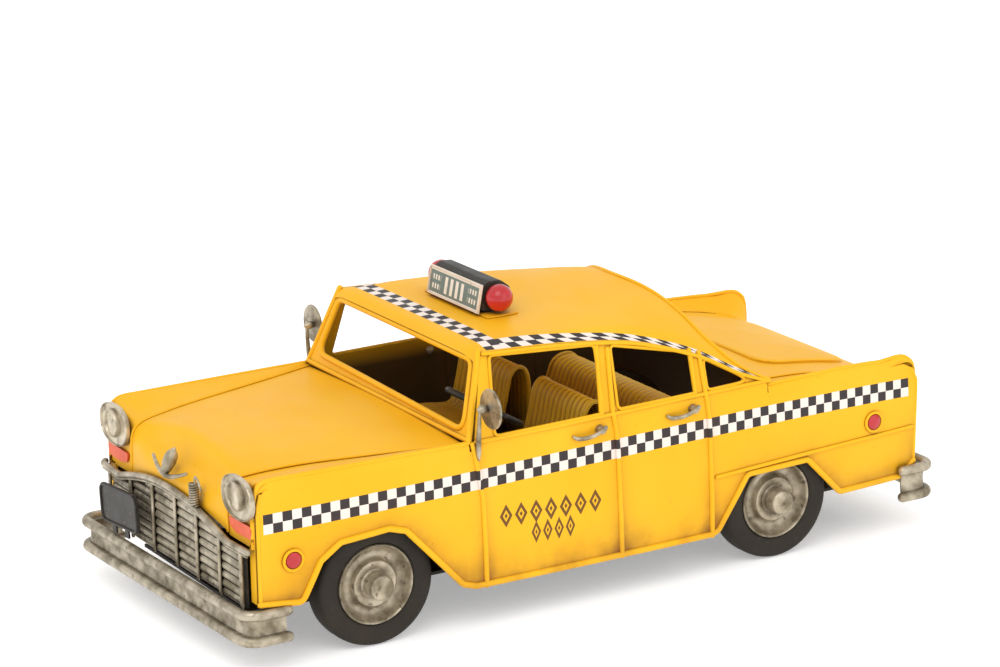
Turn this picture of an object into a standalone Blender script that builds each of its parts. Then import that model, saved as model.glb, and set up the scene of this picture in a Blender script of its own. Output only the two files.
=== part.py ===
"""A hand-built tin-plate sedan taxi with a friction motor, modelled as separate named pieces.

Lengths are millimetres until mesh data is made, where MM turns them into metres. +Z is up, the grille faces
-Y and +X is the car's left side. The origin is under the middle of the car, on the surface that its tyres
stand on.
"""

import math

import bmesh
import bpy
from mathutils import Matrix, Vector

MM = 0.001
GAP = 0.3  # clearance between neighbouring sheets

# Running gear
DATUM_Z = 0.9  # heights below are measured from a datum this far above the ground
AXLE_Z = 22.5
TYRE_RADIUS = AXLE_Z + DATUM_Z
TYRE_SIDES = 28
RIM_RADIUS = 15.2
RIM_FACE_X = 60.5
HUB_CAP_X = 65.6
FRONT_AXLE_Y = -96.2
REAR_AXLE_Y = 78.7
AXLE_RADIUS = 1.5
SHAFT_RADIUS = 1.0

# Body shell
SHEET = 1.0  # thickness of the body sheets
LID_SHEET = 0.9
WIDEST_Y = -30.0
WIDEST_X = 65.0
FRONT_Y = -144.4
REAR_Y = 145.5
SIDE_TOP_Z = 67.0
SILL_Z = 15.0
BELT_Z = 70.5
COWL_Y = -57.5
COWL_Z = 70.0
BONNET_REAR_Y = COWL_Y - 1.5
EDGE_RISE = 0.8  # from the top of a body side to the edge of the sheet that is folded down to meet it
ROOF_FRONT_Y = -47.0
WHEEL_WELL_X = 44.0  # the floor and the base stay inside this beside the wheels

# Floor pan and base
BASE_Z = 16.0
FLOOR_Z = 37.0
EAR_X = 38.0

# Friction motor
MODULE = 0.8
WHEEL_TEETH = 20
PINION_TEETH = 10
PRESSURE_ANGLE = math.radians(27.0)
ADDENDUM = 0.8
DEDENDUM = 1.15
BACKLASH = 0.3
CENTRES = MODULE * (WHEEL_TEETH + PINION_TEETH) / 2.0
FRAME_X = 12.0
FLYWHEEL_RADIUS = 8.5

# Trim
BUMPER_TUBE = 2.0  # radius of the two rolled edges of a bumper
SIGN_Y = -20.4
SIGN_HALF = 18.6
STEERING_CENTRE = (28.6, -31.4, 70.3)
STEERING_AXIS = (0.0, 0.513, 0.859)
STEERING_RADIUS = 15.2
SEAT_SHEET = 1.2


# ---------------------------------------------------------------- materials

def material(name, colour, roughness, metallic=0.0):
    """A plain Principled material, made once for each name."""
    made = bpy.data.materials.get(name)
    if made:
        return made
    made = bpy.data.materials.new(name)
    made.use_nodes = True
    shader = made.node_tree.nodes["Principled BSDF"]
    shader.inputs["Base Color"].default_value = (*colour, 1.0)
    shader.inputs["Roughness"].default_value = roughness
    shader.inputs["Metallic"].default_value = metallic
    return made


def yellow_paint():
    return material("yellow_paint", (0.86, 0.43, 0.012), 0.4)


def pewter():
    return material("pewter_plating", (0.31, 0.28, 0.23), 0.45, 0.9)


def bare_steel():
    return material("bare_steel", (0.45, 0.44, 0.42), 0.4, 1.0)


def black_paint():
    return material("black_paint", (0.03, 0.026, 0.022), 0.45)


def red_lens():
    return material("red_lens", (0.55, 0.02, 0.025), 0.3)


def amber_lens():
    return material("amber_lens", (0.8, 0.13, 0.03), 0.4)


def rubber():
    return material("black_rubber", (0.035, 0.032, 0.03), 0.75)


def seat_paint():
    return material("seat_paint", (0.36, 0.16, 0.006), 0.5)


# ---------------------------------------------------------------- mesh helpers

def publish(name, bm, look, origin=(0.0, 0.0, 0.0)):
    """Turns a bmesh in millimetres into a named object whose origin is the given point."""
    bmesh.ops.recalc_face_normals(bm, faces=bm.faces)
    bmesh.ops.transform(bm, matrix=Matrix.Scale(MM, 4), verts=bm.verts)
    mesh = bpy.data.meshes.new(name)
    bm.to_mesh(mesh)
    bm.free()
    mesh.shade_smooth()
    mesh.set_sharp_from_angle(angle=math.radians(32.0))
    mesh.materials.append(look)
    made = bpy.data.objects.new(name, mesh)
    made.location = (Vector(origin) + Vector((0.0, 0.0, DATUM_Z))) * MM
    bpy.context.scene.collection.objects.link(made)
    return made


def combine(target, others, operation):
    """Applies an exact Boolean with each of the other objects, which are removed afterwards."""
    for other in others:
        step = target.modifiers.new("combine", "BOOLEAN")
        step.operation = operation
        step.solver = "EXACT"
        step.object = other
    bpy.context.view_layer.update()
    evaluated = target.evaluated_get(bpy.context.evaluated_depsgraph_get())
    mesh = bpy.data.meshes.new_from_object(evaluated)
    mesh.name = target.name
    target.modifiers.clear()
    target.data = mesh
    for other in others:
        bpy.data.objects.remove(other, do_unlink=True)
    return target


def mirrored(points, side):
    """The points of the left side, or their mirror image on the right side."""
    return [(side * x, y, z) for x, y, z in points]


def grid_sheet(rows, thickness):
    """A closed sheet whose outer face is a grid of points, with its thickness on the other side."""
    bm = bmesh.new()
    outer = [[bm.verts.new(p) for p in row] for row in rows]
    for lower, upper in zip(outer, outer[1:]):
        for i in range(len(lower) - 1):
            bm.faces.new((lower[i], lower[i + 1], upper[i + 1], upper[i]))
    bm.normal_update()
    inner = [[bm.verts.new(v.co - v.normal * thickness) for v in row] for row in outer]
    for lower, upper in zip(inner, inner[1:]):
        for i in range(len(lower) - 1):
            bm.faces.new((lower[i], upper[i], upper[i + 1], lower[i + 1]))
    rim = outer[0] + [row[-1] for row in outer[1:]] + outer[-1][-2::-1] + [row[0] for row in outer[-2:0:-1]]
    back = inner[0] + [row[-1] for row in inner[1:]] + inner[-1][-2::-1] + [row[0] for row in inner[-2:0:-1]]
    for i in range(len(rim)):
        j = (i + 1) % len(rim)
        bm.faces.new((rim[j], rim[i], back[i], back[j]))
    return bm


def prism(outline, axis, low, high):
    """A flat outline drawn out along an axis. The outline holds the two other coordinates in XYZ order."""
    bm = bmesh.new()

    def place(pair, depth):
        spot = list(pair)
        spot.insert("XYZ".index(axis), depth)
        return bm.verts.new(spot)

    first = [place(p, low) for p in outline]
    last = [place(p, high) for p in outline]
    bm.faces.new(first)
    bm.faces.new(last[::-1])
    for i in range(len(outline)):
        j = (i + 1) % len(outline)
        bm.faces.new((first[j], first[i], last[i], last[j]))
    return bm


def box(low, high):
    outline = [(low[0], low[1]), (high[0], low[1]), (high[0], high[1]), (low[0], high[1])]
    return prism(outline, "Z", low[2], high[2])


def bent_strip(profile, thickness, low_x, high_x):
    """A strip bent along (y, z) points and drawn out along X, with its thickness to the right of the path."""
    inside = []
    for i, spot in enumerate(profile):
        before = Vector(profile[max(i - 1, 0)])
        after = Vector(profile[min(i + 1, len(profile) - 1)])
        into = (Vector(spot) - before).normalized() if i else (after - Vector(spot)).normalized()
        out = (after - Vector(spot)).normalized() if i < len(profile) - 1 else into
        along = (into + out).normalized()
        reach = thickness / max(0.5, along.dot(into))
        inside.append((spot[0] + along.y * reach, spot[1] - along.x * reach))
    return prism(list(profile) + inside[::-1], "X", low_x, high_x)


def turned(profile, sides, closed, turn=0.5):
    """A profile of (radius, x) pairs turned about the X axis. turn shifts the facets, in parts of a side."""
    bm = bmesh.new()
    rings = []
    for radius, x in profile:
        if radius == 0.0:
            rings.append([bm.verts.new((x, 0.0, 0.0))])
            continue
        angles = [2.0 * math.pi * (k + turn) / sides for k in range(sides)]
        rings.append([bm.verts.new((x, radius * math.sin(a), radius * math.cos(a))) for a in angles])
    pairs = list(zip(rings, rings[1:]))
    if closed:
        pairs.append((rings[-1], rings[0]))
    for a, b in pairs:
        for k in range(sides):
            n = (k + 1) % sides
            if len(a) == 1:
                bm.faces.new((a[0], b[k], b[n]))
            elif len(b) == 1:
                bm.faces.new((a[k], b[0], a[n]))
            else:
                bm.faces.new((a[k], b[k], b[n], a[n]))
    return bm


def swept(path, section, frames):
    """A closed section of (across, up) pairs carried along a path, whose frames give both directions."""
    bm = bmesh.new()
    rings = []
    for spot, (across, up) in zip(path, frames):
        rings.append([bm.verts.new(Vector(spot) + a * across + b * up) for a, b in section])
    count = len(section)
    for near, far in zip(rings, rings[1:]):
        for k in range(count):
            n = (k + 1) % count
            bm.faces.new((near[k], near[n], far[n], far[k]))
    bm.faces.new(rings[0][::-1])
    bm.faces.new(rings[-1])
    return bm


def tube(path, radii, sides):
    """A round wire along a path, with a radius for each point and flat ends."""
    spots = [Vector(p) for p in path]
    tangents = []
    for i in range(len(spots)):
        before = spots[max(i - 1, 0)]
        after = spots[min(i + 1, len(spots) - 1)]
        tangents.append((after - before).normalized())
    across = tangents[0].orthogonal().normalized()
    bm = bmesh.new()
    rings = []
    for spot, tangent, radius in zip(spots, tangents, radii):
        across = (across - tangent * across.dot(tangent)).normalized()
        up = tangent.cross(across)
        angles = [2.0 * math.pi * k / sides for k in range(sides)]
        rings.append([bm.verts.new(spot + radius * (math.cos(a) * across + math.sin(a) * up)) for a in angles])
    for near, far in zip(rings, rings[1:]):
        for k in range(sides):
            n = (k + 1) % sides
            bm.faces.new((near[k], near[n], far[n], far[k]))
    bm.faces.new(rings[0][::-1])
    bm.faces.new(rings[-1])
    return bm


def rounded(corners, radius, steps):
    """A polygon whose corners are replaced with arcs."""
    points = []
    count = len(corners)
    for i in range(count):
        corner = Vector(corners[i])
        back = (Vector(corners[i - 1]) - corner).normalized()
        ahead = (Vector(corners[(i + 1) % count]) - corner).normalized()
        half = back.angle(ahead) / 2.0
        reach = radius / math.tan(half)
        middle = corner + (back + ahead).normalized() * (radius / math.sin(half))
        start = corner + back * reach - middle
        stop = corner + ahead * reach - middle
        first = math.atan2(start.y, start.x)
        sweep = (math.atan2(stop.y, stop.x) - first + math.pi) % (2.0 * math.pi) - math.pi
        for k in range(steps + 1):
            a = first + sweep * k / steps
            points.append((middle.x + radius * math.cos(a), middle.y + radius * math.sin(a)))
    return points


def oval(centre, half_width, half_height, power, count):
    """A superellipse outline in two coordinates."""
    points = []
    for k in range(count):
        a = 2.0 * math.pi * (k + 0.5) / count
        c, s = math.cos(a), math.sin(a)
        x = half_width * math.copysign(abs(c) ** (2.0 / power), c)
        z = half_height * math.copysign(abs(s) ** (2.0 / power), s)
        points.append((centre[0] + x, centre[1] + z))
    return points


def table(pairs, at):
    """The straight-line value between (place, value) pairs."""
    if at <= pairs[0][0]:
        return pairs[0][1]
    for (a, va), (b, vb) in zip(pairs, pairs[1:]):
        if at <= b:
            return va + (vb - va) * (at - a) / (b - a)
    return pairs[-1][1]


# ---------------------------------------------------------------- body form

def half_width(y):
    """Half the width of the body: it is widest behind the windscreen and narrows to both ends."""
    if y < WIDEST_Y:
        return WIDEST_X - 2.0 * ((y - WIDEST_Y) / 114.0) ** 2
    return WIDEST_X - 4.2 * ((y - WIDEST_Y) / 175.0) ** 2


SIDE_LEAN = ((14.0, -0.4), (30.0, 0.2), (56.0, 0.2), (67.0, -0.4), (BELT_Z, -0.7), (102.0, -11.4))
GUTTER = ((-47.8, 101.4), (-24.0, 100.9), (0.0, 98.9), (17.0, 96.3), (33.0, 91.6), (46.5, 86.2), (60.0, 78.2),
          (74.0, 71.8))
ROOF_SPINE = ((-47.0, 101.6), (-28.0, 102.2), (-5.0, 102.6), (20.0, 103.6), (40.0, 104.2), (48.0, 103.5),
              (56.0, 101.0), (64.0, 93.0), (74.0, 77.0))
ROOF_CROWN = ((-47.0, 2.9), (-20.0, 2.9), (50.0, 1.8))  # the power of the curve from one gutter to the other


def side_x(y, z):
    return half_width(y) + table(SIDE_LEAN, z)


def roof_point(y, share):
    """A point of the roof, where share runs from -1 at the right gutter to 1 at the left one."""
    edge_z = table(GUTTER, y)
    rise = (table(ROOF_SPINE, y) - edge_z) * (1.0 - abs(share) ** table(ROOF_CROWN, y))
    return (share * side_x(y, edge_z), y, edge_z + rise + GAP)


def arch_z(x):
    """Height of the nose's lower edge, which rises to an arch over the grille."""
    return 44.4 + 7.6 * max(0.0, 1.0 - (abs(x) / 46.0) ** 2.1) ** 1.15


def valley_x(y):
    """Half the width of the bonnet, whose sides run in towards the nose."""
    return 41.0 + 20.8 * max(0.0, (y + 140.0) / 83.0) ** 1.15


def valley_z(y):
    return table(((-144.0, 64.5), (-133.0, 66.2), (-115.0, 67.6), (-75.0, 68.4), (COWL_Y, 68.8)), y)


def side_outline():
    """The body side from the left: (y, z) pairs round the fender, both arches, the tail and the roof line."""
    front = [(FRONT_Y, 24.0), (-127.6, 22.7), (-120.2, 36.7), (-112.1, 42.3), (-92.7, 43.9), (-85.7, 41.8),
             (-62.6, 16.8), (-57.1, SILL_Z)]
    rear = [(46.5, SILL_Z), (49.6, 16.0), (63.0, 36.2), (91.5, 36.8), (107.4, 20.6), (138.5, 21.3),
            (144.4, 26.0)]
    tail = [(REAR_Y, 60.0), (143.5, 64.6), (139.0, SIDE_TOP_Z), (72.8, SIDE_TOP_Z), (72.8, 71.7)]
    roof = [(y, z - 1.3) for y, z in reversed(GUTTER[:-1])]
    pillar = [(COWL_Y + 1.0, COWL_Z), (COWL_Y + 1.0, SIDE_TOP_Z), (-140.5, SIDE_TOP_Z), (-143.6, 64.0)]
    return front + rear + tail + roof + pillar


SIDE_WINDOWS = {
    "front": ((-48.0, 71.0), (-0.8, 71.6), (0.2, 95.4), (-44.6, 98.6)),
    "rear": ((5.2, 72.0), (40.4, 72.4), (40.8, 86.0), (6.6, 94.2)),
    "quarter": ((46.8, 72.6), (64.5, 72.9), (47.0, 82.6)),
}


def body_side(name, side):
    levels = (13.0, 30.0, 56.0, SIDE_TOP_Z, BELT_Z, 86.0, 103.0)
    stations = (-146.0, -115.0, -85.0, -55.0, -20.0, 20.0, 60.0, 100.0, 147.0)
    rows = [[(side * side_x(y, z), y, z) for y in stations[::side]] for z in levels]
    made = publish(name, grid_sheet(rows, SHEET), yellow_paint())
    shape = publish("outline", prism(side_outline(), "X", *sorted((side * 40.0, side * 80.0))), yellow_paint())
    combine(made, [shape], "INTERSECT")
    cutters = []
    for window in SIDE_WINDOWS.values():
        outline = rounded(window, 1.5, 2)
        cutter = prism(outline, "X", *sorted((side * 40.0, side * 80.0)))
        cutters.append(publish("window", cutter, yellow_paint()))
    return combine(made, cutters, "DIFFERENCE")


def front_fender(name, side):
    """The fender's ridge beside the bonnet, and its front face, which holds the headlamp and runs on down
    beside the grille."""
    rows = []
    for y in (BONNET_REAR_Y, -75.0, -95.0, -115.0, -130.0, -139.0):
        outer = half_width(y)
        inner = valley_x(y) + GAP
        ridge = max(58.5, inner + 1.6)
        low = valley_z(y)
        rows.append([(outer - 0.4, y, SIDE_TOP_Z + EDGE_RISE), (outer - 1.3, y, 69.5), (ridge, y, 70.3),
                     (0.5 * (ridge + inner), y, low + 1.2), (inner, y, low)])
    outer = half_width(FRONT_Y) - SHEET - 0.8
    inner = valley_x(FRONT_Y) + GAP
    ridge = rows[-1][2][0]
    spread = (outer, outer - 0.9, ridge, 0.5 * (ridge + inner), inner)
    for y, top in ((FRONT_Y + 1.2, (66.8, 67.8, 68.0, 66.6, 63.6)), (FRONT_Y, (63.5, 63.7, 63.8, 62.6, 60.6)),
                   (FRONT_Y, (56.0,) * 5), (FRONT_Y, (45.6,) * 5)):
        rows.append([(x, y, z) for x, z in zip(spread, top)])
    rows = [mirrored(row, side)[::side] for row in rows]
    made = publish(name, grid_sheet(rows, SHEET), yellow_paint())
    low_x, high_x = sorted((side * 53.0, side * (outer + 0.6 - GAP)))
    leg = box((low_x, FRONT_Y, 24.4), (high_x, FRONT_Y + SHEET, 46.0))
    return combine(made, [publish("leg", leg, yellow_paint())], "UNION")


def bonnet():
    """The crowned bonnet, which rolls down over the nose to the arch of the grille."""
    shares = [k / 6.0 for k in range(-6, 7)]
    rows = []
    spine = ((BONNET_REAR_Y, 70.6), (-80.0, 71.0), (-100.0, 70.2), (-118.0, 68.2), (-130.0, 65.8),
             (-138.0, 62.8))
    for y, middle in spine:
        edge = valley_z(y) + 0.3
        rows.append([(s * (valley_x(y) - GAP), y, edge + (middle - edge) * (1.0 - s * s)) for s in shares])
    half = valley_x(-140.0) - GAP
    nose = ((-143.4, -142.9, 0.3, 0.1), (-146.2, -144.2, 0.62, 0.27), (-147.4, -144.8, 1.0, 1.0))
    for y_middle, y_edge, drop_middle, drop_edge in nose:
        row = []
        for s in shares:
            inward = 1.0 - s * s
            top = valley_z(-138.0) + (62.8 - valley_z(-138.0)) * inward
            low = arch_z(s * half) + 0.6
            drop = drop_edge + (drop_middle - drop_edge) * inward
            row.append((s * half, y_edge + (y_middle - y_edge) * inward, top + (low - top) * drop))
        rows.append(row)
    return publish("bonnet", grid_sheet([row[::-1] for row in rows], SHEET), yellow_paint())


def windscreen_frame():
    """The flat raked panel round the windscreen opening, from the cowl to the roof's front edge."""
    def outline(corners):
        low, high = corners
        return [(-low[0], low[1]), (low[0], low[1]), (high[0], high[1]), (-high[0], high[1])]

    rake = (ROOF_FRONT_Y - COWL_Y) / (102.0 - COWL_Z)
    shape = outline(((62.6, COWL_Z), (53.2, 100.2)))
    shape[3:3] = [(30.0, 101.0), (0.0, 101.2), (-30.0, 101.0)]
    frame = publish("windscreen_frame", prism(shape, "Y", -1.0, 0.0), yellow_paint())
    hole = rounded(outline(((56.4, 75.4), (50.4, 97.2))), 3.5, 3)
    cutter = publish("opening", prism(hole, "Y", -9.0, 9.0), yellow_paint())
    combine(frame, [cutter], "DIFFERENCE")
    lean = Matrix.Identity(4)
    lean[1][2] = rake
    lean[1][3] = (COWL_Y - 0.2 - rake * COWL_Z) * MM
    frame.data.transform(lean)
    return frame


def rear_arch_y(share):
    """Where the roof ends over the rear window: nearly straight across, and far back beside the gutters."""
    return 43.2 + 8.5 * (1.0 - (1.0 - share ** 2) ** 4) + 21.8 * abs(share) ** 14


def roof_panel():
    """The domed roof. Its rear edge is an arch over the rear window, whose legs run down to the deck."""
    half = (0.2, 0.35, 0.5, 0.63, 0.75, 0.85, 0.93, 1.0)
    shares = [-s for s in reversed(half)] + [0.0, *half]
    rows = []
    for part in (0.0, 0.16, 0.32, 0.48, 0.64, 0.78, 0.9, 1.0):
        row = []
        for s in shares:
            row.append(roof_point(ROOF_FRONT_Y + part * (rear_arch_y(s) - ROOF_FRONT_Y), s))
        rows.append(row)
    return publish("roof_panel", grid_sheet(rows, SHEET), yellow_paint())


DECK_LINE = ((76.5, 69.4), (92.0, 68.8), (108.0, 67.0), (122.0, 64.6), (131.0, 62.2))
FIN_LINE = ((76.5, 69.6), (92.0, 70.2), (108.0, 70.4), (122.0, 70.4), (131.0, 70.4))


def deck_z(y):
    return table(DECK_LINE, y)


def rear_deck():
    """The boot deck between the two tail fins, rolled down at the back into the tail panel."""
    def across(y, deck, fin, low):
        wide = half_width(min(y, REAR_Y)) - 0.4
        half = [(wide, y, low), (wide - 0.8, y, fin - 0.8), (wide - 2.4, y, fin),
                (wide - 5.0, y, 0.5 * (fin + deck)), (wide - 10.0, y, deck), (20.0, y, deck + 0.6)]
        return half + [(-x, yy, z) for x, yy, z in half[::-1]]

    rows = []
    for (y, deck), (_, fin) in zip(DECK_LINE, FIN_LINE):
        rows.append(across(y, deck, fin, SIDE_TOP_Z + EDGE_RISE))
    wide = half_width(140.0) - 0.4
    steps = (((138.0, 69.9), (137.2, 59.6)), ((142.6, 67.4), (140.6, 55.6)), ((145.2, 63.0), (142.4, 50.0)),
             ((145.4, 50.0), (143.0, 44.0)), ((145.2, 36.0), (143.0, 34.0)), ((144.6, 27.6), (142.6, 27.2)))
    for (fin_y, fin_z), (deck_y, deck_z_here) in steps:
        side_low = min(SIDE_TOP_Z + EDGE_RISE, fin_z - 0.5)
        half = [(wide - 1.5, fin_y, side_low), (wide - 2.2, fin_y, fin_z), (wide - 3.4, fin_y, fin_z),
                (wide - 5.2, 0.5 * (fin_y + deck_y), 0.5 * (fin_z + deck_z_here)),
                (wide - 10.0, deck_y, deck_z_here), (20.0, deck_y + 0.3, deck_z_here + 0.3)]
        rows.append(half + [(-x, y, z) for x, y, z in half[::-1]])
    return publish("rear_deck", grid_sheet([row[::-1] for row in rows], SHEET), yellow_paint())


def boot_lid():
    """A thin raised lid on the deck, with rounded corners."""
    middle, reach = 110.0, 21.0
    rows = []
    for k in range(-6, 7):
        share = k / 6.0
        y = middle + reach * share
        wide = 38.0 * (1.0 - min(abs(share), 0.985) ** 5) ** 0.35
        lift = 0.6 + GAP + LID_SHEET
        rows.append([(wide * s, y, deck_z(y) + lift + 0.5 * (1.0 - s * s)) for s in (-1, -0.6, 0, 0.6, 1)])
    return publish("boot_lid", grid_sheet(rows, LID_SHEET), yellow_paint())


def cabin_floor():
    """The floor pan of the cabin, folded up at the front as the toe board."""
    wide = 60.0
    outline = [(-wide, -56.0), (wide, -56.0), (wide, 46.0), (WHEEL_WELL_X, 46.0), (WHEEL_WELL_X, 76.0),
               (-WHEEL_WELL_X, 76.0), (-WHEEL_WELL_X, 46.0), (-wide, 46.0)]
    floor = publish("cabin_floor", prism(outline, "Z", FLOOR_Z - SHEET, FLOOR_Z), black_paint())
    board = publish("toe_board", box((-wide, -56.0, FLOOR_Z - 0.5), (wide, -55.0, 66.0)), black_paint())
    return combine(floor, [board], "UNION")


def chassis_base():
    """The base plate at sill height, with an ear for each end of each axle and a slot under the motor's gear."""
    wide = 61.0
    near = WHEEL_WELL_X
    outline = [(-near, -140.0), (near, -140.0), (near, -54.0), (wide, -54.0), (wide, 44.0), (near, 44.0),
               (near, 138.0), (-near, 138.0), (-near, 44.0), (-wide, 44.0), (-wide, -54.0), (-near, -54.0)]
    base = publish("chassis_base", prism(outline, "Z", BASE_Z - 1.2, BASE_Z), black_paint())
    ears = []
    holes = [publish("gear_slot", box((-6.0, 56.0, 10.0), (9.0, 88.0, 20.0)), black_paint())]
    for axle_y in (FRONT_AXLE_Y, REAR_AXLE_Y):
        for x in (-EAR_X, EAR_X):
            ear = box((x - 0.6, axle_y - 6.0, BASE_Z - 0.6), (x + 0.6, axle_y + 6.0, AXLE_Z + 5.0))
            ears.append(publish("ear", ear, black_paint()))
        reach = AXLE_RADIUS + GAP
        bore = turned([(0.0, -50.0), (reach, -50.0), (reach, 50.0), (0.0, 50.0)], 16, False)
        holes.append(publish("bore", bore, black_paint(), (0.0, axle_y, AXLE_Z)))
    combine(base, ears, "UNION")
    return combine(base, holes, "DIFFERENCE")


# ---------------------------------------------------------------- trim

def grille():
    """The slatted grille: a backing plate with a row of horizontal ribs and five upright rods in front."""
    half = 56.4
    xs = [-half + 2.0 * half * k / 16.0 for k in range(17)]
    outline = [(-half, 22.0), (half, 22.0)] + [(x, arch_z(x) - 1.6) for x in reversed(xs)]
    made = publish("grille", prism(outline, "Y", -146.2, -145.2), pewter())
    parts = []
    for level in range(8):
        z = 23.4 + 3.3 * level
        reach = half - 0.5
        while arch_z(reach) - 2.6 < z and reach > 4.0:
            reach -= 1.0
        parts.append(publish("slat", box((-reach, -147.2, z), (reach, -145.9, z + 1.2)), pewter()))
    for x in (-36.5, -17.3, 2.2, 20.0, 38.5):
        parts.append(publish("rod", box((x - 0.7, -148.2, 24.0), (x + 0.7, -146.0, arch_z(x) - 2.2)), pewter()))
    return combine(made, parts, "UNION")


def grille_band():
    """The half-round band over the grille, arched in the middle and swept out to both fenders."""
    count = 20
    path = []
    for k in range(count + 1):
        x = -61.0 + 122.0 * k / count
        path.append((x, -148.4 + 1.2 * (x / 61.0) ** 2, arch_z(x)))
    frames = []
    for i in range(len(path)):
        a = Vector(path[max(i - 1, 0)])
        b = Vector(path[min(i + 1, count)])
        along = (b - a).normalized()
        forward = Vector((0.0, -1.0, 0.0))
        frames.append((forward, along.cross(forward).normalized()))
    section = [(-0.6, -1.3), (0.7, -1.3), (1.4, -0.6), (1.4, 0.5), (0.7, 1.1), (-0.6, 1.1)]
    return publish("grille_band", swept(path, section, frames), pewter())


def bumper(name, y_face, end_y, middle, half, low_z, high_z, skew=0.0):
    """A channel bumper: a plate between two rolled edges, wrapped round both corners of the car. skew is how
    much further out its right end stands than its left one."""
    ahead = math.copysign(1.0, y_face)
    corner = 8.0
    path = [(-half, end_y)]
    for k in range(5):
        a = math.pi / 2.0 * k / 4.0
        path.append((-half + corner - corner * math.cos(a), y_face - ahead * corner * (1.0 - math.sin(a))))
    path += [(-x, y) for x, y in reversed(path)]
    frames = []
    for i in range(len(path)):
        a = Vector(path[max(i - 1, 0)])
        b = Vector(path[min(i + 1, len(path) - 1)])
        along = (b - a).normalized()
        outward = Vector((-along.y, along.x, 0.0)) * ahead
        frames.append((outward, Vector((0.0, 0.0, 1.0))))
    r = BUMPER_TUBE
    section = []
    for z, turn in ((low_z, 0), (high_z, 1)):
        angles = (200, 250, 300, 350, 40) if turn == 0 else (-40, 10, 60, 110, 160)
        for a in angles:
            section.append((-r + r * math.cos(math.radians(a)), z + r * math.sin(math.radians(a))))
    section.append((-r - 0.4, high_z - 1.2))
    section.append((-r - 0.4, low_z + 1.2))
    front_in = [(-r + 0.6, low_z + 2.4), (-r + 0.6, high_z - 2.4)]
    section = section[:5] + front_in + section[5:]
    spots = [(middle + x, y + ahead * skew * (half - x) / (2.0 * half), 0.0) for x, y in path]
    return publish(name, swept(spots, section, frames), pewter())


HEADLAMP = (52.4, 62.5)


def headlamp_bezel(name, side):
    """An oval dish with a rolled rim, fixed to the fender's front face."""
    centre = (side * HEADLAMP[0], HEADLAMP[1])
    count = 24
    back = FRONT_Y - GAP
    shapes = [(0.90, back), (1.0, back - 1.2), (1.0, back - 2.4), (0.93, back - 3.0), (0.86, back - 2.4),
              (0.84, back - 1.2)]
    bm = bmesh.new()
    rings = []
    for scale, y in shapes:
        outline = oval(centre, 11.8 * scale, 8.1 * scale, 2.3, count)
        rings.append([bm.verts.new((x, y, z)) for x, z in outline])
    for a, b in zip(rings, rings[1:]):
        for k in range(count):
            n = (k + 1) % count
            bm.faces.new((a[k], a[n], b[n], b[k]))
    bm.faces.new(rings[0])
    bm.faces.new(rings[-1])
    return publish(name, bm, pewter())


def headlamp_lens(name, side):
    """The round lamp that stands in the dish."""
    back = FRONT_Y - GAP - 1.2 - GAP
    profile = [(0.0, 0.0), (5.5, 0.0), (5.5, 2.2), (5.1, 2.6), (4.7, 2.2), (0.0, 1.8)]
    bm = turned(profile, 20, False)
    turn = Matrix.Rotation(math.radians(-90.0), 4, "Z")
    bmesh.ops.transform(bm, matrix=turn, verts=bm.verts)
    return publish(name, bm, pewter(), (side * HEADLAMP[0], back, HEADLAMP[1] + 0.6))


def turn_lens(name, side):
    """The amber lens under a headlamp: a rounded block, deeper at its outer end."""
    corners = [(45.6, 52.2), (48.6, 49.6), (61.4, 48.6), (61.8, 53.6), (46.2, 53.6)]
    outline = [(side * x, z) for x, z in corners]
    return publish(name, prism(outline, "Y", FRONT_Y - GAP - 0.9, FRONT_Y - GAP), amber_lens())


def round_reflector(name, side, y, z):
    """A round red reflector in a raised rim, on the body side."""
    profile = [(0.0, 0.0), (3.8, 0.0), (3.8, 0.8), (3.3, 1.2), (2.9, 0.9), (0.0, 1.3)]
    bm = turned(profile, 16, False)
    if side < 0:
        bmesh.ops.transform(bm, matrix=Matrix.Rotation(math.pi, 4, "Z"), verts=bm.verts)
    x = side_x(y, z) + GAP + 0.3
    return publish(name, bm, red_lens(), (side * x, y, z))


def tail_lamp(name, side):
    """A round red lamp on the tail panel."""
    profile = [(0.0, 0.0), (4.6, 0.0), (4.6, 1.4), (3.8, 2.0), (3.2, 1.7), (0.0, 2.4)]
    bm = turned(profile, 18, False)
    bmesh.ops.transform(bm, matrix=Matrix.Rotation(math.radians(90.0), 4, "Z"), verts=bm.verts)
    return publish(name, bm, red_lens(), (side * 40.0, 143.2 + GAP, 40.0))


def door_handle(name, side, y, z):
    """A lever handle: a boss at its rear end and a flat bar that runs forward from it."""
    base = side_x(y, z) + GAP + 0.2
    bar = [(base + 0.9, y - 9.0, z - 1.1), (base + 2.3, y - 7.5, z - 1.1), (base + 2.5, y - 1.0, z - 0.4),
           (base + 2.2, y + 4.2, z + 0.3)]
    made = publish(name, tube(mirrored(bar, side), (0.8, 1.1, 1.1, 1.4), 8), pewter())
    boss = tube(mirrored([(base, y + 3.4, z + 0.2), (base + 3.4, y + 3.4, z + 0.2)], side), (2.0, 1.6), 10)
    return combine(made, [publish("boss", boss, pewter())], "UNION")


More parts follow.
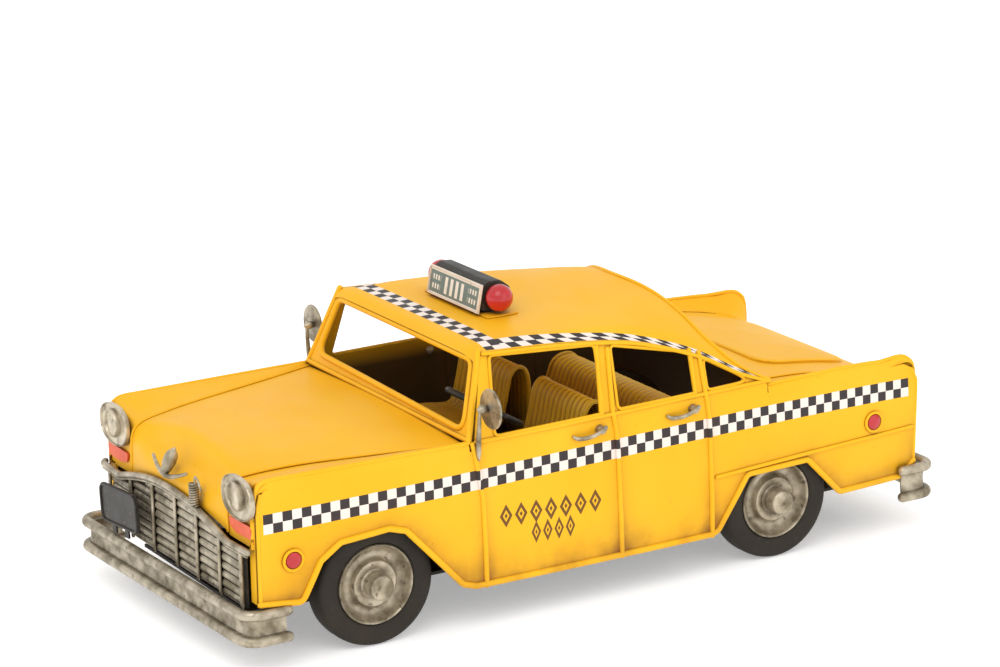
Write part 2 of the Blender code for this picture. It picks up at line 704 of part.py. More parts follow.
def mirror(name, side):
    """A round dish mirror with a ball hub in front, on a tapered stalk at the foot of the windscreen pillar."""
    disc = turned([(0.0, -0.7), (6.6, 0.6), (7.5, 0.9), (7.5, 1.7), (6.4, 1.5), (0.0, 0.4)], 16, False)
    bmesh.ops.transform(disc, matrix=Matrix.Rotation(math.radians(90.0), 4, "Z"), verts=disc.verts)
    x, y, z = 69.4, -53.1, 83.4
    made = publish(name, disc, pewter(), (side * x, y, z))
    stalk = [(x - 1.6, y - 2.6, z + 1.6), (x - 1.8, y - 2.8, z - 1.0), (x - 2.6, y - 2.8, z - 8.0),
             (x - 3.6, y - 2.7, z - 15.0), (x - 3.0, y - 2.6, z - 19.6)]
    foot = publish("stalk", tube(mirrored(stalk, side), (1.2, 0.8, 1.0, 1.4, 0.7), 8), pewter())
    ball = publish("ball", tube([(side * (x - 1.7), y - 3.9, z), (side * (x - 1.7), y - 2.9, z),
                                 (side * (x - 1.7), y - 1.4, z), (side * (x - 1.7), y + 0.4, z)],
                                (1.0, 2.0, 2.0, 1.2), 10), pewter())
    lift = Matrix.Translation(Vector((side * -x, -y, -z)) * MM)
    for piece in (foot, ball):
        piece.data.transform(lift)
        piece.location = made.location
    return combine(made, [foot, ball], "UNION")


def bonnet_ornament():
    """A chevron of two rods with an upright teardrop behind it, on the nose."""
    y, z = -150.0, 57.2
    rods = tube([(-14.0, y + 2.2, z + 4.6), (0.0, y, z), (14.0, y + 2.2, z + 4.6)], (0.8, 1.2, 0.8), 8)
    made = publish("bonnet_ornament", rods, pewter())
    drop = tube([(0.0, y - 0.3, z - 0.4), (0.0, y + 0.6, z + 3.4), (0.0, y + 1.2, z + 5.8),
                 (0.0, y + 1.9, z + 8.0), (0.0, y + 2.4, z + 9.4)], (0.8, 1.5, 2.5, 2.2, 0.7), 10)
    return combine(made, [publish("drop", drop, pewter())], "UNION")


def nose_spring():
    """A small wire spring over the grille, whose top end is bent into a hook."""
    x, y, z = 22.6, -149.3, 51.8
    turns, height, coil, wire = 4, 8.4, 1.7, 0.5
    path = []
    steps = turns * 8
    for k in range(steps + 1):
        a = 2.0 * math.pi * k / 8.0
        path.append((x + coil * math.cos(a), y + coil * math.sin(a), z + height * k / steps))
    top = z + height
    path += [(x + coil, y - 0.2, top + 1.6), (x + coil + 1.6, y - 0.6, top + 3.2),
             (x + coil + 4.6, y - 1.0, top + 2.4), (x + coil + 7.4, y - 1.2, top - 0.4)]
    return publish("nose_spring", tube(path, [wire] * len(path), 4), bare_steel())


def number_plate():
    """A blank black plate with rounded corners, which stands on two tabs over the bumper's upper edge."""
    wide, high = 16.6, 7.6
    shape = rounded([(-wide, -high), (wide, -high), (wide, high), (-wide, high)], 3.6, 3)
    made = publish("number_plate", prism(shape, "Y", -1.0, 0.0), black_paint())
    tabs = [publish("tab", box((x - 1.6, -0.9, -high - 3.0), (x + 1.6, -0.2, -high + 1.0)), black_paint())
            for x in (-5.6, 5.6)]
    combine(made, tabs, "UNION")
    hang = Matrix.Translation(Vector((-36.2, -152.4, 35.0)) * MM) @ Matrix.Rotation(math.radians(-5.0), 4, "Y")
    made.data.transform(hang)
    return made


# ---------------------------------------------------------------- roof sign

def sign_section():
    """The sign box in side view: a slanted face at the front and a rounded top, as (y, z) pairs."""
    y = SIGN_Y
    return [(y - 6.6, 104.3), (y + 6.0, 104.6), (y + 6.6, 109.4), (y + 5.8, 112.6), (y + 3.0, 114.6),
            (y - 0.6, 115.2), (y - 3.4, 114.8), (y - 4.8, 113.8)]


def sign_pieces():
    publish("sign_box", prism(sign_section(), "X", -SIGN_HALF, SIGN_HALF), black_paint())
    (y0, z0), (y1, z1) = sign_section()[0], sign_section()[-1]
    along = Vector((0.0, y1 - y0, z1 - z0)).normalized()
    out = Vector((0.0, -along.z, along.y))
    low = Vector((0.0, y0, z0)) + out * GAP - along * 1.2
    high = Vector((0.0, y1, z1)) + out * GAP + along * 0.2
    face = [(p.y, p.z) for p in (low, low + out * 0.8, high + out * 0.8, high)]
    printed = material("sign_print", (0.1, 0.12, 0.1), 0.5)
    publish("sign_face", prism(face, "X", -SIGN_HALF - 0.5, SIGN_HALF + 0.5), printed)
    for name, side in (("sign_lamp_left", 1), ("sign_lamp_right", -1)):
        profile = [(0.0, 0.0), (3.6, 0.0), (4.8, 1.6), (5.2, 3.5), (4.9, 5.4), (3.4, 7.2), (0.0, 8.0)]
        ball = turned(profile, 18, False)
        if side < 0:
            bmesh.ops.transform(ball, matrix=Matrix.Rotation(math.pi, 4, "Z"), verts=ball.verts)
        publish(name, ball, red_lens(), (side * (SIGN_HALF + GAP), SIGN_Y, 109.5))


def sign_base():
    """The folded tin foot between the sign box and the roof."""
    wide = 24.0
    rows = []
    for y in (SIGN_Y - 6.4, SIGN_Y, SIGN_Y + 6.8):
        row = []
        for k in range(-4, 5):
            x = wide * k / 4.0
            share = x / side_x(y, table(GUTTER, y))
            row.append((x, y, roof_point(y, share)[2] + GAP + 0.6))
        rows.append(row)
    return publish("sign_base", grid_sheet(rows, 0.5), yellow_paint())


# ---------------------------------------------------------------- cabin

def front_seat(name, side):
    """A seat bent from one sheet, open at its sides: a low cushion and a rounded back."""
    profile = [(-30.0, 37.4), (-30.0, 48.0), (-27.6, 50.0), (-4.0, 48.6), (0.2, 62.0), (1.2, 67.2),
               (3.4, 70.2), (6.4, 70.8), (9.2, 69.0), (10.2, 65.2), (10.2, 37.4)]
    strip = bent_strip(profile, SEAT_SHEET, *sorted((side * 8.6, side * 47.0)))
    return publish(name, strip, seat_paint())


def rear_seat():
    profile = [(15.0, 37.4), (15.0, 46.0), (17.4, 48.0), (35.0, 46.6), (38.8, 55.0), (40.4, 59.0),
               (43.6, 61.2), (47.8, 61.6), (51.8, 59.6), (53.6, 55.4), (53.6, 37.4)]
    return publish("rear_seat", bent_strip(profile, SEAT_SHEET, -42.5, 42.5), seat_paint())


def steering():
    """The steering wheel, turned about its column, and the column itself."""
    axis = Vector(STEERING_AXIS).normalized()
    turn = Vector((1.0, 0.0, 0.0)).rotation_difference(axis).to_matrix().to_4x4()
    profile = []
    for k in range(6):
        a = 2.0 * math.pi * k / 6.0
        profile.append((STEERING_RADIUS + 1.1 * math.cos(a), 1.1 * math.sin(a)))
    rim = turned(profile[::-1], 24, True)
    wheel = publish("steering_wheel", rim, black_paint(), STEERING_CENTRE)
    hub = publish("hub", turned([(0.0, -2.0), (3.0, -2.0), (3.0, 0.9), (0.0, 1.4)], 12, False), black_paint())
    pieces = [hub]
    for degrees in (0.0, 140.0, 220.0):
        c, s = math.cos(math.radians(degrees)), math.sin(math.radians(degrees))
        spoke = [(0.0, c * 2.0, s * 2.0), (0.0, c * STEERING_RADIUS, s * STEERING_RADIUS)]
        pieces.append(publish("spoke", tube(spoke, (0.8, 0.7), 6), black_paint()))
    for piece in pieces:
        piece.location = wheel.location
    combine(wheel, pieces, "UNION")
    wheel.data.transform(turn)
    foot = (FLOOR_Z + 0.9 - STEERING_CENTRE[2]) / axis.z
    column = turned([(0.0, foot), (1.6, foot), (1.6, -2.0 - GAP), (0.0, -2.0 - GAP)], 12, False)
    bmesh.ops.transform(column, matrix=turn, verts=column.verts)
    publish("steering_column", column, black_paint(), STEERING_CENTRE)


# ---------------------------------------------------------------- wheels and motor

def wheels():
    hub_profile = [(0.0, HUB_CAP_X), (4.7, HUB_CAP_X), (4.7, 58.6), (8.6, 59.4), (11.0, 56.4), (13.6, 57.0),
                   (14.2, RIM_FACE_X), (RIM_RADIUS, RIM_FACE_X), (RIM_RADIUS, 50.0), (13.8, 50.0), (13.0, 54.4),
                   (4.6, 54.4), (4.6, 50.0), (AXLE_RADIUS + GAP, 50.0), (AXLE_RADIUS + GAP, 62.6),
                   (0.0, 62.6)]
    tyre_profile = [(RIM_RADIUS + GAP, 59.8), (21.6, 61.0), (TYRE_RADIUS, 59.2), (TYRE_RADIUS, 51.4),
                    (21.0, 49.2), (RIM_RADIUS + GAP, 50.2)]
    flat = 1.0 / math.cos(math.pi / TYRE_SIDES)  # puts the tread's facets, not its edges, at the tyre's radius
    tyre_profile = [(r * flat if r == TYRE_RADIUS else r, x) for r, x in tyre_profile]
    for axle, axle_y in (("front", FRONT_AXLE_Y), ("rear", REAR_AXLE_Y)):
        for word, side in (("left", 1), ("right", -1)):
            spot = (0.0, axle_y, AXLE_Z)
            for kind, profile, sides, closed, look in (("hub", hub_profile, 16, False, pewter()),
                                                       ("tyre", tyre_profile, TYRE_SIDES, True, rubber())):
                bm = turned(profile, sides, closed)
                if side < 0:
                    bmesh.ops.transform(bm, matrix=Matrix.Rotation(math.pi, 4, "Z"), verts=bm.verts)
                publish(f"{axle}_{kind}_{word}", bm, look, spot)
        rod = turned([(0.0, -62.2), (AXLE_RADIUS, -62.2), (AXLE_RADIUS, 62.2), (0.0, 62.2)], 12, False)
        publish(f"{axle}_axle", rod, bare_steel(), (0.0, axle_y, AXLE_Z))


def gear_outline(teeth, start):
    """Involute teeth round the X axis as (y, z) pairs. start is the direction of one tooth's middle."""
    pitch = MODULE * teeth / 2.0
    base = pitch * math.cos(PRESSURE_ANGLE)
    tip = pitch + ADDENDUM * MODULE
    root = pitch - DEDENDUM * MODULE
    half = math.pi / (2.0 * teeth) - BACKLASH / (4.0 * pitch)
    lean = math.tan(PRESSURE_ANGLE) - PRESSURE_ANGLE

    def flank(radius):
        roll = math.acos(min(1.0, base / radius))
        return half + lean - (math.tan(roll) - roll)

    low = max(base, root)
    radii = [root, low + 0.02, pitch, tip]
    points = []
    for k in range(teeth):
        centre = start + 2.0 * math.pi * k / teeth
        for radius in radii:
            a = centre - flank(max(radius, low))
            points.append((radius * math.cos(a), radius * math.sin(a)))
        for radius in reversed(radii):
            a = centre + flank(max(radius, low))
            points.append((radius * math.cos(a), radius * math.sin(a)))
    return points


def gear(name, teeth, start, low_x, high_x, spot, bore=0.0):
    made = publish(name, prism(gear_outline(teeth, start), "X", low_x, high_x), bare_steel(), spot)
    if bore:
        low_x, high_x = low_x - 1.0, high_x + 1.0
        hole = turned([(0.0, low_x), (bore, low_x), (bore, high_x), (0.0, high_x)], 12, False)
        combine(made, [publish("hole", hole, bare_steel(), spot)], "DIFFERENCE")
    return made


def friction_motor():
    """The gear train from the rear axle to a flywheel, between the cheeks of a folded frame."""
    drive = Vector((REAR_AXLE_Y, AXLE_Z))
    to_idler = math.radians(170.0)
    to_flywheel = math.radians(175.0)
    idler = drive + CENTRES * Vector((math.cos(to_idler), math.sin(to_idler)))
    flywheel = idler + CENTRES * Vector((math.cos(to_flywheel), math.sin(to_flywheel)))
    spots = [(0.0, p.x, p.y) for p in (drive, idler, flywheel)]

    gear("drive_gear", WHEEL_TEETH, to_idler, 2.0, 5.0, spots[0], AXLE_RADIUS + GAP)

    gap_turn = math.pi / PINION_TEETH
    idler_gear = gear("idler_gear", WHEEL_TEETH, to_flywheel, -5.0, -2.0, spots[1])
    pinion = gear("pinion", PINION_TEETH, to_idler + math.pi + gap_turn, 1.5, 5.5, spots[1])
    shaft = turned([(0.0, -13.0), (SHAFT_RADIUS, -13.0), (SHAFT_RADIUS, 13.0), (0.0, 13.0)], 12, False)
    combine(idler_gear, [pinion, publish("shaft", shaft, bare_steel(), spots[1])], "UNION")

    disc_profile = [(0.0, -10.6), (FLYWHEEL_RADIUS, -10.6), (FLYWHEEL_RADIUS, -6.6), (0.0, -6.6)]
    disc = publish("flywheel", turned(disc_profile, 24, False), bare_steel(), spots[2])
    pinion = gear("pinion", PINION_TEETH, to_flywheel + math.pi + gap_turn, -5.5, -1.5, spots[2])
    shaft = turned([(0.0, -13.0), (SHAFT_RADIUS, -13.0), (SHAFT_RADIUS, 13.0), (0.0, 13.0)], 12, False)
    combine(disc, [pinion, publish("shaft", shaft, bare_steel(), spots[2])], "UNION")

    top = FLOOR_Z - SHEET - 0.6
    frame = publish("motor_frame", box((-FRAME_X, 43.0, BASE_Z + GAP), (FRAME_X, 86.0, top)), bare_steel())
    inside = box((-FRAME_X + 0.9, 42.0, BASE_Z - 1.0), (FRAME_X - 0.9, 87.0, top - 0.9))
    bores = [publish("inside", inside, bare_steel())]
    for spot, radius in zip(spots, (AXLE_RADIUS, SHAFT_RADIUS, SHAFT_RADIUS)):
        hole = turned([(0.0, -14.0), (radius + GAP, -14.0), (radius + GAP, 14.0), (0.0, 14.0)], 16, False)
        bores.append(publish("bore", hole, bare_steel(), spot))
    combine(frame, bores, "DIFFERENCE")


# ---------------------------------------------------------------- assembly

def build():
    for old in list(bpy.data.objects):
        bpy.data.objects.remove(old, do_unlink=True)
    bonnet()
    windscreen_frame()
    roof_panel()
    rear_deck()
    boot_lid()
    cabin_floor()
    chassis_base()
    grille()
    grille_band()
    bumper("front_bumper", -152.0, -134.0, -3.0, 69.0, 11.6, 21.4, 4.2)
    bumper("rear_bumper", 153.4, 137.0, 0.0, 65.6, 13.5, 24.4)
    bonnet_ornament()
    nose_spring()
    number_plate()
    sign_pieces()
    sign_base()
    rear_seat()
    steering()
    wheels()
    friction_motor()
    for word, side in (("left", 1), ("right", -1)):
        body_side(f"body_side_{word}", side)
        front_fender(f"front_fender_{word}", side)
        headlamp_bezel(f"headlamp_bezel_{word}", side)
        headlamp_lens(f"headlamp_lens_{word}", side)
        turn_lens(f"turn_lens_{word}", side)
        tail_lamp(f"tail_lamp_{word}", side)
        mirror(f"mirror_{word}", side)
        front_seat(f"front_seat_{word}", side)
        round_reflector(f"front_reflector_{word}", side, -131.0, 39.6)
        round_reflector(f"rear_reflector_{word}", side, 123.4, 46.6)
        door_handle(f"front_handle_{word}", side, -6.6, 65.6)
        door_handle(f"rear_handle_{word}", side, 34.8, 66.4)


build()
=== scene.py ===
"""Looks of a hand-built tin-plate taxi with a friction motor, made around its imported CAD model.

Shapes are written in millimetres above a datum that lies DATUM_Z over the ground, and emit() turns them
into metres in the CAD model's frame. +Z is up, the grille faces -Y and +X is the car's left side.
"""

import math

import bmesh
import bpy
from mathutils import Matrix, Vector


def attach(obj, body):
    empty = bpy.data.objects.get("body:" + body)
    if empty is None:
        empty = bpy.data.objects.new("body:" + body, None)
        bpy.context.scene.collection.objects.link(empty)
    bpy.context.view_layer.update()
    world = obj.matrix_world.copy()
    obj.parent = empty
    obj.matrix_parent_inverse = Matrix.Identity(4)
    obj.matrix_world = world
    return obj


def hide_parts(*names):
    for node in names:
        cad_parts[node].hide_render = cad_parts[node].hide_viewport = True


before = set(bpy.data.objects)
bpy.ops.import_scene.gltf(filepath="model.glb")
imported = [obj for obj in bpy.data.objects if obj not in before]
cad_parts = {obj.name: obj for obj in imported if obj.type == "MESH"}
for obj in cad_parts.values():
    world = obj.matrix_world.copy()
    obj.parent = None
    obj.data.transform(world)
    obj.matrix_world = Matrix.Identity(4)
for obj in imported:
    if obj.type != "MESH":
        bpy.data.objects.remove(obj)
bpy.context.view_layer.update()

MM = 0.001
DATUM_Z = 0.9
BODY = "car_body"
SIDES = (("left", 1), ("right", -1))

# Running gear
AXLE_Z = 22.5
TYRE_RADIUS = 23.4
FRONT_AXLE_Y = -96.2
REAR_AXLE_Y = 78.7

# Body shell
SHEET = 1.0
WIDEST_Y = -30.0
WIDEST_X = 65.0
FRONT_Y = -144.4
REAR_Y = 145.5
SIDE_TOP_Z = 67.0
LAP_Z = 65.6
SILL_Z = 15.0
BELT_Z = 70.5
COWL_Y = -57.5
COWL_Z = 70.0
ROOF_FRONT_Y = -47.0
RAKE = (ROOF_FRONT_Y - COWL_Y) / (102.0 - COWL_Z)
NOSE_Y = -138.0
GRILLE_HALF = 56.4
GRILLE_RODS = (-36.5, -17.3, 2.2, 20.0, 38.5)
HEADLAMP = (52.4, 62.5)

# Rolled beads
SILL_BEAD = 1.25
DOOR_BEAD = 1.1
TRIM_BEAD = 0.85

# Printed check bands
CHECK_START = -141.9
CHECK_PITCH = 3.77
CHECK_HEIGHT = 3.65
CHECK_COUNT = 75
ROOF_CHECK = 3.7
ROOF_CHECK_LENGTH = 1.25 * ROOF_CHECK
ROOF_BAND_EDGE = 0.9
FRONT_BAND_Y = -44.6

# Rows of printed diamonds on the front doors: start, pitch, count, height, half height
DIAMOND_ROWS = ((-47.5, 6.4, 7, 40.3, 4.5), (-34.0, 4.9, 4, 31.8, 4.4))

# Trim and cabin
BUMPER_EDGE = 2.0
BUMPER_CORNER = 8.0
MIRROR = (69.4, -53.1, 83.4)
PLATE = (-36.2, -152.4, 35.0)
TAIL_LAMP = (40.0, 143.2, 40.0)
REFLECTORS = {"front": (-131.0, 39.6), "rear": (123.4, 46.6)}
HANDLES = {"front": (-6.6, 65.6), "rear": (34.8, 66.4)}
SIGN_Y = -20.4
SIGN_HALF = 18.6
SIGN_LAMP_Z = 109.5
STEERING = (28.6, -31.4, 70.3)
FLOOR_Z = 38.0
RIB_PITCH = 3.1
RIB_HEIGHT = 0.28
FRONT_SEAT = ((-30.0, 38.4), (-30.0, 47.0), (-27.6, 49.8), (-16.0, 49.6), (-4.4, 48.8), (-1.0, 57.0),
              (0.4, 63.0), (1.6, 67.6), (4.2, 70.6), (7.2, 70.4), (9.4, 67.6), (10.2, 62.0), (10.2, 50.0),
              (10.2, 38.4))
REAR_SEAT = ((15.0, 38.4), (15.0, 45.0), (17.6, 47.8), (26.0, 47.6), (35.0, 46.8), (38.6, 54.0), (40.4, 58.6),
             (43.2, 61.0), (47.6, 61.8), (51.4, 60.2), (53.4, 56.0), (53.6, 48.0), (53.6, 38.4))

# Studio, in metres and degrees
CAMERA_ANGLES = (59.8748, 15.7606, -1.0557)
CAMERA_LENS = 125.298
CAMERA_PLACE = (1.1075, -0.6503, 0.4507)
LAMPS = (("key", (0.9, -0.9, 1.5), 1.2, 9.0), ("fill", (1.6, 0.5, 0.7), 1.4, 4.0))

SIDE_LEAN = ((14.0, -0.4), (30.0, 0.2), (56.0, 0.2), (67.0, -0.4), (BELT_Z, -0.7), (102.0, -11.4))
GUTTER = ((-47.8, 101.4), (-24.0, 100.9), (0.0, 98.9), (17.0, 96.3), (33.0, 91.6), (46.5, 86.2), (60.0, 78.2),
          (74.0, 71.8))
ROOF_SPINE = ((-47.0, 101.6), (-28.0, 102.2), (-5.0, 102.6), (20.0, 103.6), (40.0, 104.2), (48.0, 103.5),
              (56.0, 101.0), (64.0, 93.0), (74.0, 77.0))
SHOULDER = 6.5
EAVE = ((-51.0, 0.9), (-44.0, 1.6), (-30.0, 2.1), (40.0, 2.1), (60.0, 1.3), (74.0, 0.2))
ROOF_CROWN = ((-47.0, 3.4), (-20.0, 3.4), (20.0, 3.0), (50.0, 2.0))
VALLEY_LINE = ((-144.0, 64.5), (-133.0, 66.2), (-115.0, 67.6), (-75.0, 68.4), (COWL_Y, 68.8))
BONNET_LINE = ((COWL_Y - 1.5, 70.6), (-80.0, 71.0), (-100.0, 70.2), (-118.0, 68.2), (-130.0, 65.8),
               (NOSE_Y, 62.8))
DECK_LINE = ((73.2, 69.6), (92.0, 68.8), (108.0, 67.0), (122.0, 64.6), (131.0, 62.2))
FIN_LINE = ((73.2, 69.8), (92.0, 70.2), (108.0, 70.4), (122.0, 69.9), (131.0, 69.4))
CHECK_TOP = ((-142.0, 58.1), (-87.0, 59.0), (34.0, 61.7), (141.0, 61.2))

SIDE_WINDOWS = (
    ((-48.0, 71.0), (-0.8, 71.6), (0.2, 96.0), (-44.4, 98.8)),
    ((5.2, 72.0), (40.4, 72.4), (41.0, 87.2), (6.6, 94.9)),
    ((45.4, 72.5), (66.0, 72.9), (45.8, 84.6)),
)
LOWER_EDGE = ((FRONT_Y, 24.0), (-127.6, 22.7), (-120.2, 36.7), (-112.1, 42.3), (-92.7, 43.9), (-85.7, 41.8),
              (-62.6, 16.8), (-57.1, SILL_Z), (46.5, SILL_Z), (49.6, 16.0), (63.0, 36.2), (91.5, 36.8),
              (107.4, 20.6), (138.5, 21.3), (144.4, 26.0))
TAIL_EDGE = ((REAR_Y, 60.0), (143.5, 64.6), (139.0, SIDE_TOP_Z), (72.8, SIDE_TOP_Z), (72.8, 71.7))
NOSE_EDGE = ((COWL_Y + 1.0, COWL_Z), (COWL_Y + 1.0, SIDE_TOP_Z), (-140.5, SIDE_TOP_Z), (-143.6, 64.0))
DOOR_LINES = (
    ((-57.2, 69.5), (-56.6, 66.0), (-53.8, 48.6), (-52.6, SILL_Z)),
    ((5.3, 93.6), (2.8, 71.6), (4.0, 62.5), (6.0, SILL_Z)),
    ((44.6, 86.2), (44.4, 71.6), (45.4, 63.5), (47.0, SILL_Z)),
)


# ---------------------------------------------------------------- curves

def spread(low, high, count):
    """Numbers from low to high with count equal steps between them."""
    return [low + (high - low) * k / count for k in range(count + 1)]


def table(pairs, at):
    """The straight-line value between (place, value) pairs."""
    if at <= pairs[0][0]:
        return pairs[0][1]
    for (a, va), (b, vb) in zip(pairs, pairs[1:]):
        if at <= b:
            return va + (vb - va) * (at - a) / (b - a)
    return pairs[-1][1]


def eased(points, count):
    """count points on a Catmull-Rom curve through the given ones, evenly spread over its spans."""
    spots = [Vector(p) for p in points]
    spots = [2.0 * spots[0] - spots[1]] + spots + [2.0 * spots[-1] - spots[-2]]
    made = []
    for k in range(count):
        place = (len(points) - 1) * k / (count - 1)
        i = min(int(place), len(points) - 2)
        t = place - i
        a, b, c, d = spots[i:i + 4]
        made.append(0.5 * (2.0 * b + (c - a) * t + (2.0 * a - 5.0 * b + 4.0 * c - d) * t * t
                           + (3.0 * b - a - 3.0 * c + d) * t ** 3))
    return made


def travelled(points):
    """How far each point lies along the line through them all."""
    lengths = [0.0]
    for a, b in zip(points, points[1:]):
        lengths.append(lengths[-1] + (Vector(b) - Vector(a)).length)
    return lengths


def mirrored(half):
    """A row of points from one side to the other, from the half that lies on the left."""
    return half + [(-x, y, z) for x, y, z in half[::-1]]


def smooth_table(pairs, at):
    """The value at a place on an eased curve through (place, value) pairs."""
    curve = eased([(a, b) for a, b in pairs], 8 * len(pairs))
    return table([(p.x, p.y) for p in curve], at)


def eased_grid(rows, down, across):
    """A finer grid through the points of a coarse one."""
    wide = [eased(row, across) for row in rows]
    columns = [eased(column, down) for column in zip(*wide)]
    return [list(row) for row in zip(*columns)]


def rounded(corners, radius, closed=True, step=2.0):
    """A two-coordinate path with arcs at its corners and points at most one step apart."""
    count = len(corners)
    bent = []
    for i in range(count):
        corner = Vector(corners[i])
        if not closed and i in (0, count - 1):
            bent.append(corner)
            continue
        back = Vector(corners[i - 1]) - corner
        ahead = Vector(corners[(i + 1) % count]) - corner
        half = back.angle(ahead) / 2.0
        reach = min(radius / math.tan(half), 0.45 * back.length, 0.45 * ahead.length)
        start = corner + back.normalized() * reach
        stop = corner + ahead.normalized() * reach
        for k in range(6):
            t = k / 5.0
            bent.append((1 - t) ** 2 * start + 2 * t * (1 - t) * corner + t * t * stop)
    path = []
    for i in range(len(bent) if closed else len(bent) - 1):
        a, b = bent[i], bent[(i + 1) % len(bent)]
        pieces = max(1, math.ceil((b - a).length / step))
        path += [a.lerp(b, k / pieces) for k in range(pieces)]
    if not closed:
        path.append(bent[-1])
    return path


# ---------------------------------------------------------------- body form

def half_width(y):
    """Half the body's width at its middle height."""
    if y < WIDEST_Y:
        return WIDEST_X - 2.0 * ((y - WIDEST_Y) / 114.0) ** 2
    return WIDEST_X - 4.2 * ((y - WIDEST_Y) / 175.0) ** 2


def side_x(y, z):
    return half_width(y) + table(SIDE_LEAN, z)


def on_side(path, side, out):
    """Points of a (y, z) path on the body side, out from its surface."""
    return [(side * (side_x(y, z) + out), y, z) for y, z in path]


def gutter_z(y):
    """Height of the gutter, the line where the roof meets the body side."""
    return smooth_table(GUTTER, y)


def roof_point(y, share, sink=0.0):
    """A point of the plain domed roof. share runs from -1 at the right gutter to 1 at the left one."""
    edge_z = gutter_z(y)
    rise = (smooth_table(ROOF_SPINE, y) - edge_z) * (1.0 - abs(share) ** table(ROOF_CROWN, y))
    return (share * side_x(y, edge_z), y, edge_z + rise + 0.4 - sink)


def roof_skin_point(y, share, sink=0.0):
    """A point of the roof's skin, which is pressed down beside the gutters and hangs a little over them."""
    x, y, z = roof_point(y, share, sink)
    near = max(0.0, 1.0 - (side_x(y, gutter_z(y)) - abs(x)) / SHOULDER)
    return (x + math.copysign(0.5 * near, x), y, z - table(EAVE, y) * near ** 1.15)


def valley_x(y):
    """Half the bonnet's width, out to the valley beside the fender."""
    return 41.0 + 20.8 * max(0.0, (y + 140.0) / 83.0) ** 1.15


def arch_z(x):
    """Height of the nose's lower edge, which rises to an arch over the grille."""
    return 44.4 + 7.6 * max(0.0, 1.0 - (abs(x) / 46.0) ** 2.1) ** 1.15


def rear_arch_y(share):
    """The roof's rear edge, which arches over the open rear window."""
    return 43.2 + 8.5 * (1.0 - (1.0 - share ** 2) ** 4) + 21.8 * abs(share) ** 14


def screen_point(x, z, out=0.0):
    """A point on the raked windscreen panel, out from its front face."""
    return (x, COWL_Y - 1.2 - out + RAKE * (z - COWL_Z), z)


# ---------------------------------------------------------------- mesh helpers

def emit(name, bm, look, body=BODY, replaces=(), origin=(0.0, 0.0, 0.0), sharp=38.0):
    """Turns a bmesh in millimetres into a piece that rides on a body and stands for the given CAD nodes."""
    bmesh.ops.recalc_face_normals(bm, faces=bm.faces)
    shift = Vector(origin) + Vector((0.0, 0.0, DATUM_Z))
    bmesh.ops.transform(bm, matrix=Matrix.Scale(MM, 4) @ Matrix.Translation(shift), verts=bm.verts)
    mesh = bpy.data.meshes.new(name)
    bm.to_mesh(mesh)
    bm.free()
    mesh.shade_smooth()
    mesh.set_sharp_from_angle(angle=math.radians(sharp))
    mesh.materials.append(look)
    piece = bpy.data.objects.new(name, mesh)
    bpy.context.scene.collection.objects.link(piece)
    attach(piece, body)
    if replaces:
        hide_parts(*replaces)


def carved(bm, other, operation):
    """The bmesh after an exact Boolean with another one."""
    temporary = []
    for shape in (bm, other):
        bmesh.ops.recalc_face_normals(shape, faces=shape.faces)
        mesh = bpy.data.meshes.new("carving")
        shape.to_mesh(mesh)
        shape.free()
        temporary.append(bpy.data.objects.new("carving", mesh))
        bpy.context.scene.collection.objects.link(temporary[-1])
    step = temporary[0].modifiers.new("carve", "BOOLEAN")
    step.operation = operation
    step.solver = "EXACT"
    step.object = temporary[1]
    bpy.context.view_layer.update()
    made = bmesh.new()
    made.from_object(temporary[0], bpy.context.evaluated_depsgraph_get())
    for old in temporary:
        bpy.data.objects.remove(old, do_unlink=True)
    return made


def softened(bm, width, angle=35.0):
    """Rounds the sharp edges of a bmesh."""
    edges = [e for e in bm.edges if len(e.link_faces) == 2 and e.calc_face_angle(0.0) > math.radians(angle)]
    bmesh.ops.bevel(bm, geom=edges, offset=width, segments=2, profile=0.5, affect="EDGES", clamp_overlap=True)
    return bm


def bridge(bm, rings, loop=True):
    """Joins neighbouring rings of vertices with faces. A ring may be a single vertex."""
    for a, b in zip(rings, rings[1:]):
        count = max(len(a), len(b))
        for k in range(count if loop else count - 1):
            n = (k + 1) % count
            corners = (a[k % len(a)], a[n % len(a)], b[n % len(b)], b[k % len(b)])
            bm.faces.new(list(dict.fromkeys(corners)))


def lofted(rings):
    """A closed shape through rings of points, with a flat face at both ends."""
    bm = bmesh.new()
    made = [[bm.verts.new(p) for p in ring] for ring in rings]
    bridge(bm, made)
    bm.faces.new(made[0][::-1])
    bm.faces.new(made[-1])
    return bm


def sheet(rows, thickness, marks=None):
    """A closed sheet whose outer face is a grid of points. marks holds a vector per point, kept as "band"."""
    bm = bmesh.new()
    layer = bm.verts.layers.float_vector.new("band") if marks else None
    outer = [[bm.verts.new(p) for p in row] for row in rows]
    bridge(bm, outer, loop=False)
    bm.normal_update()
    inner = [[bm.verts.new(v.co - v.normal * thickness) for v in row] for row in outer]
    if marks:
        for row, copies, values in zip(outer, inner, marks):
            for vert, copy, value in zip(row, copies, values):
                vert[layer] = value
                copy[layer] = (-9.0, -9.0, 0.0)
    bridge(bm, inner[::-1], loop=False)
    borders = [grid[0] + [row[-1] for row in grid[1:]] + grid[-1][-2::-1] + [row[0] for row in grid[-2:0:-1]]
               for grid in (inner, outer)]
    bridge(bm, borders)
    return bm


def placed(pair, axis, depth):
    """A point from two coordinates and its depth along an axis."""
    spot = list(pair)
    spot.insert("XYZ".index(axis), depth)
    return spot


def stacked(outlines, axis="Y"):
    """A closed shape through outlines of equal length, each given with its depth along an axis."""
    return lofted([[placed(pair, axis, depth) for pair in outline] for outline, depth in outlines])


def prism(outline, axis, low, high):
    """An outline pulled straight along an axis."""
    return stacked([(outline, low), (outline, high)], axis)


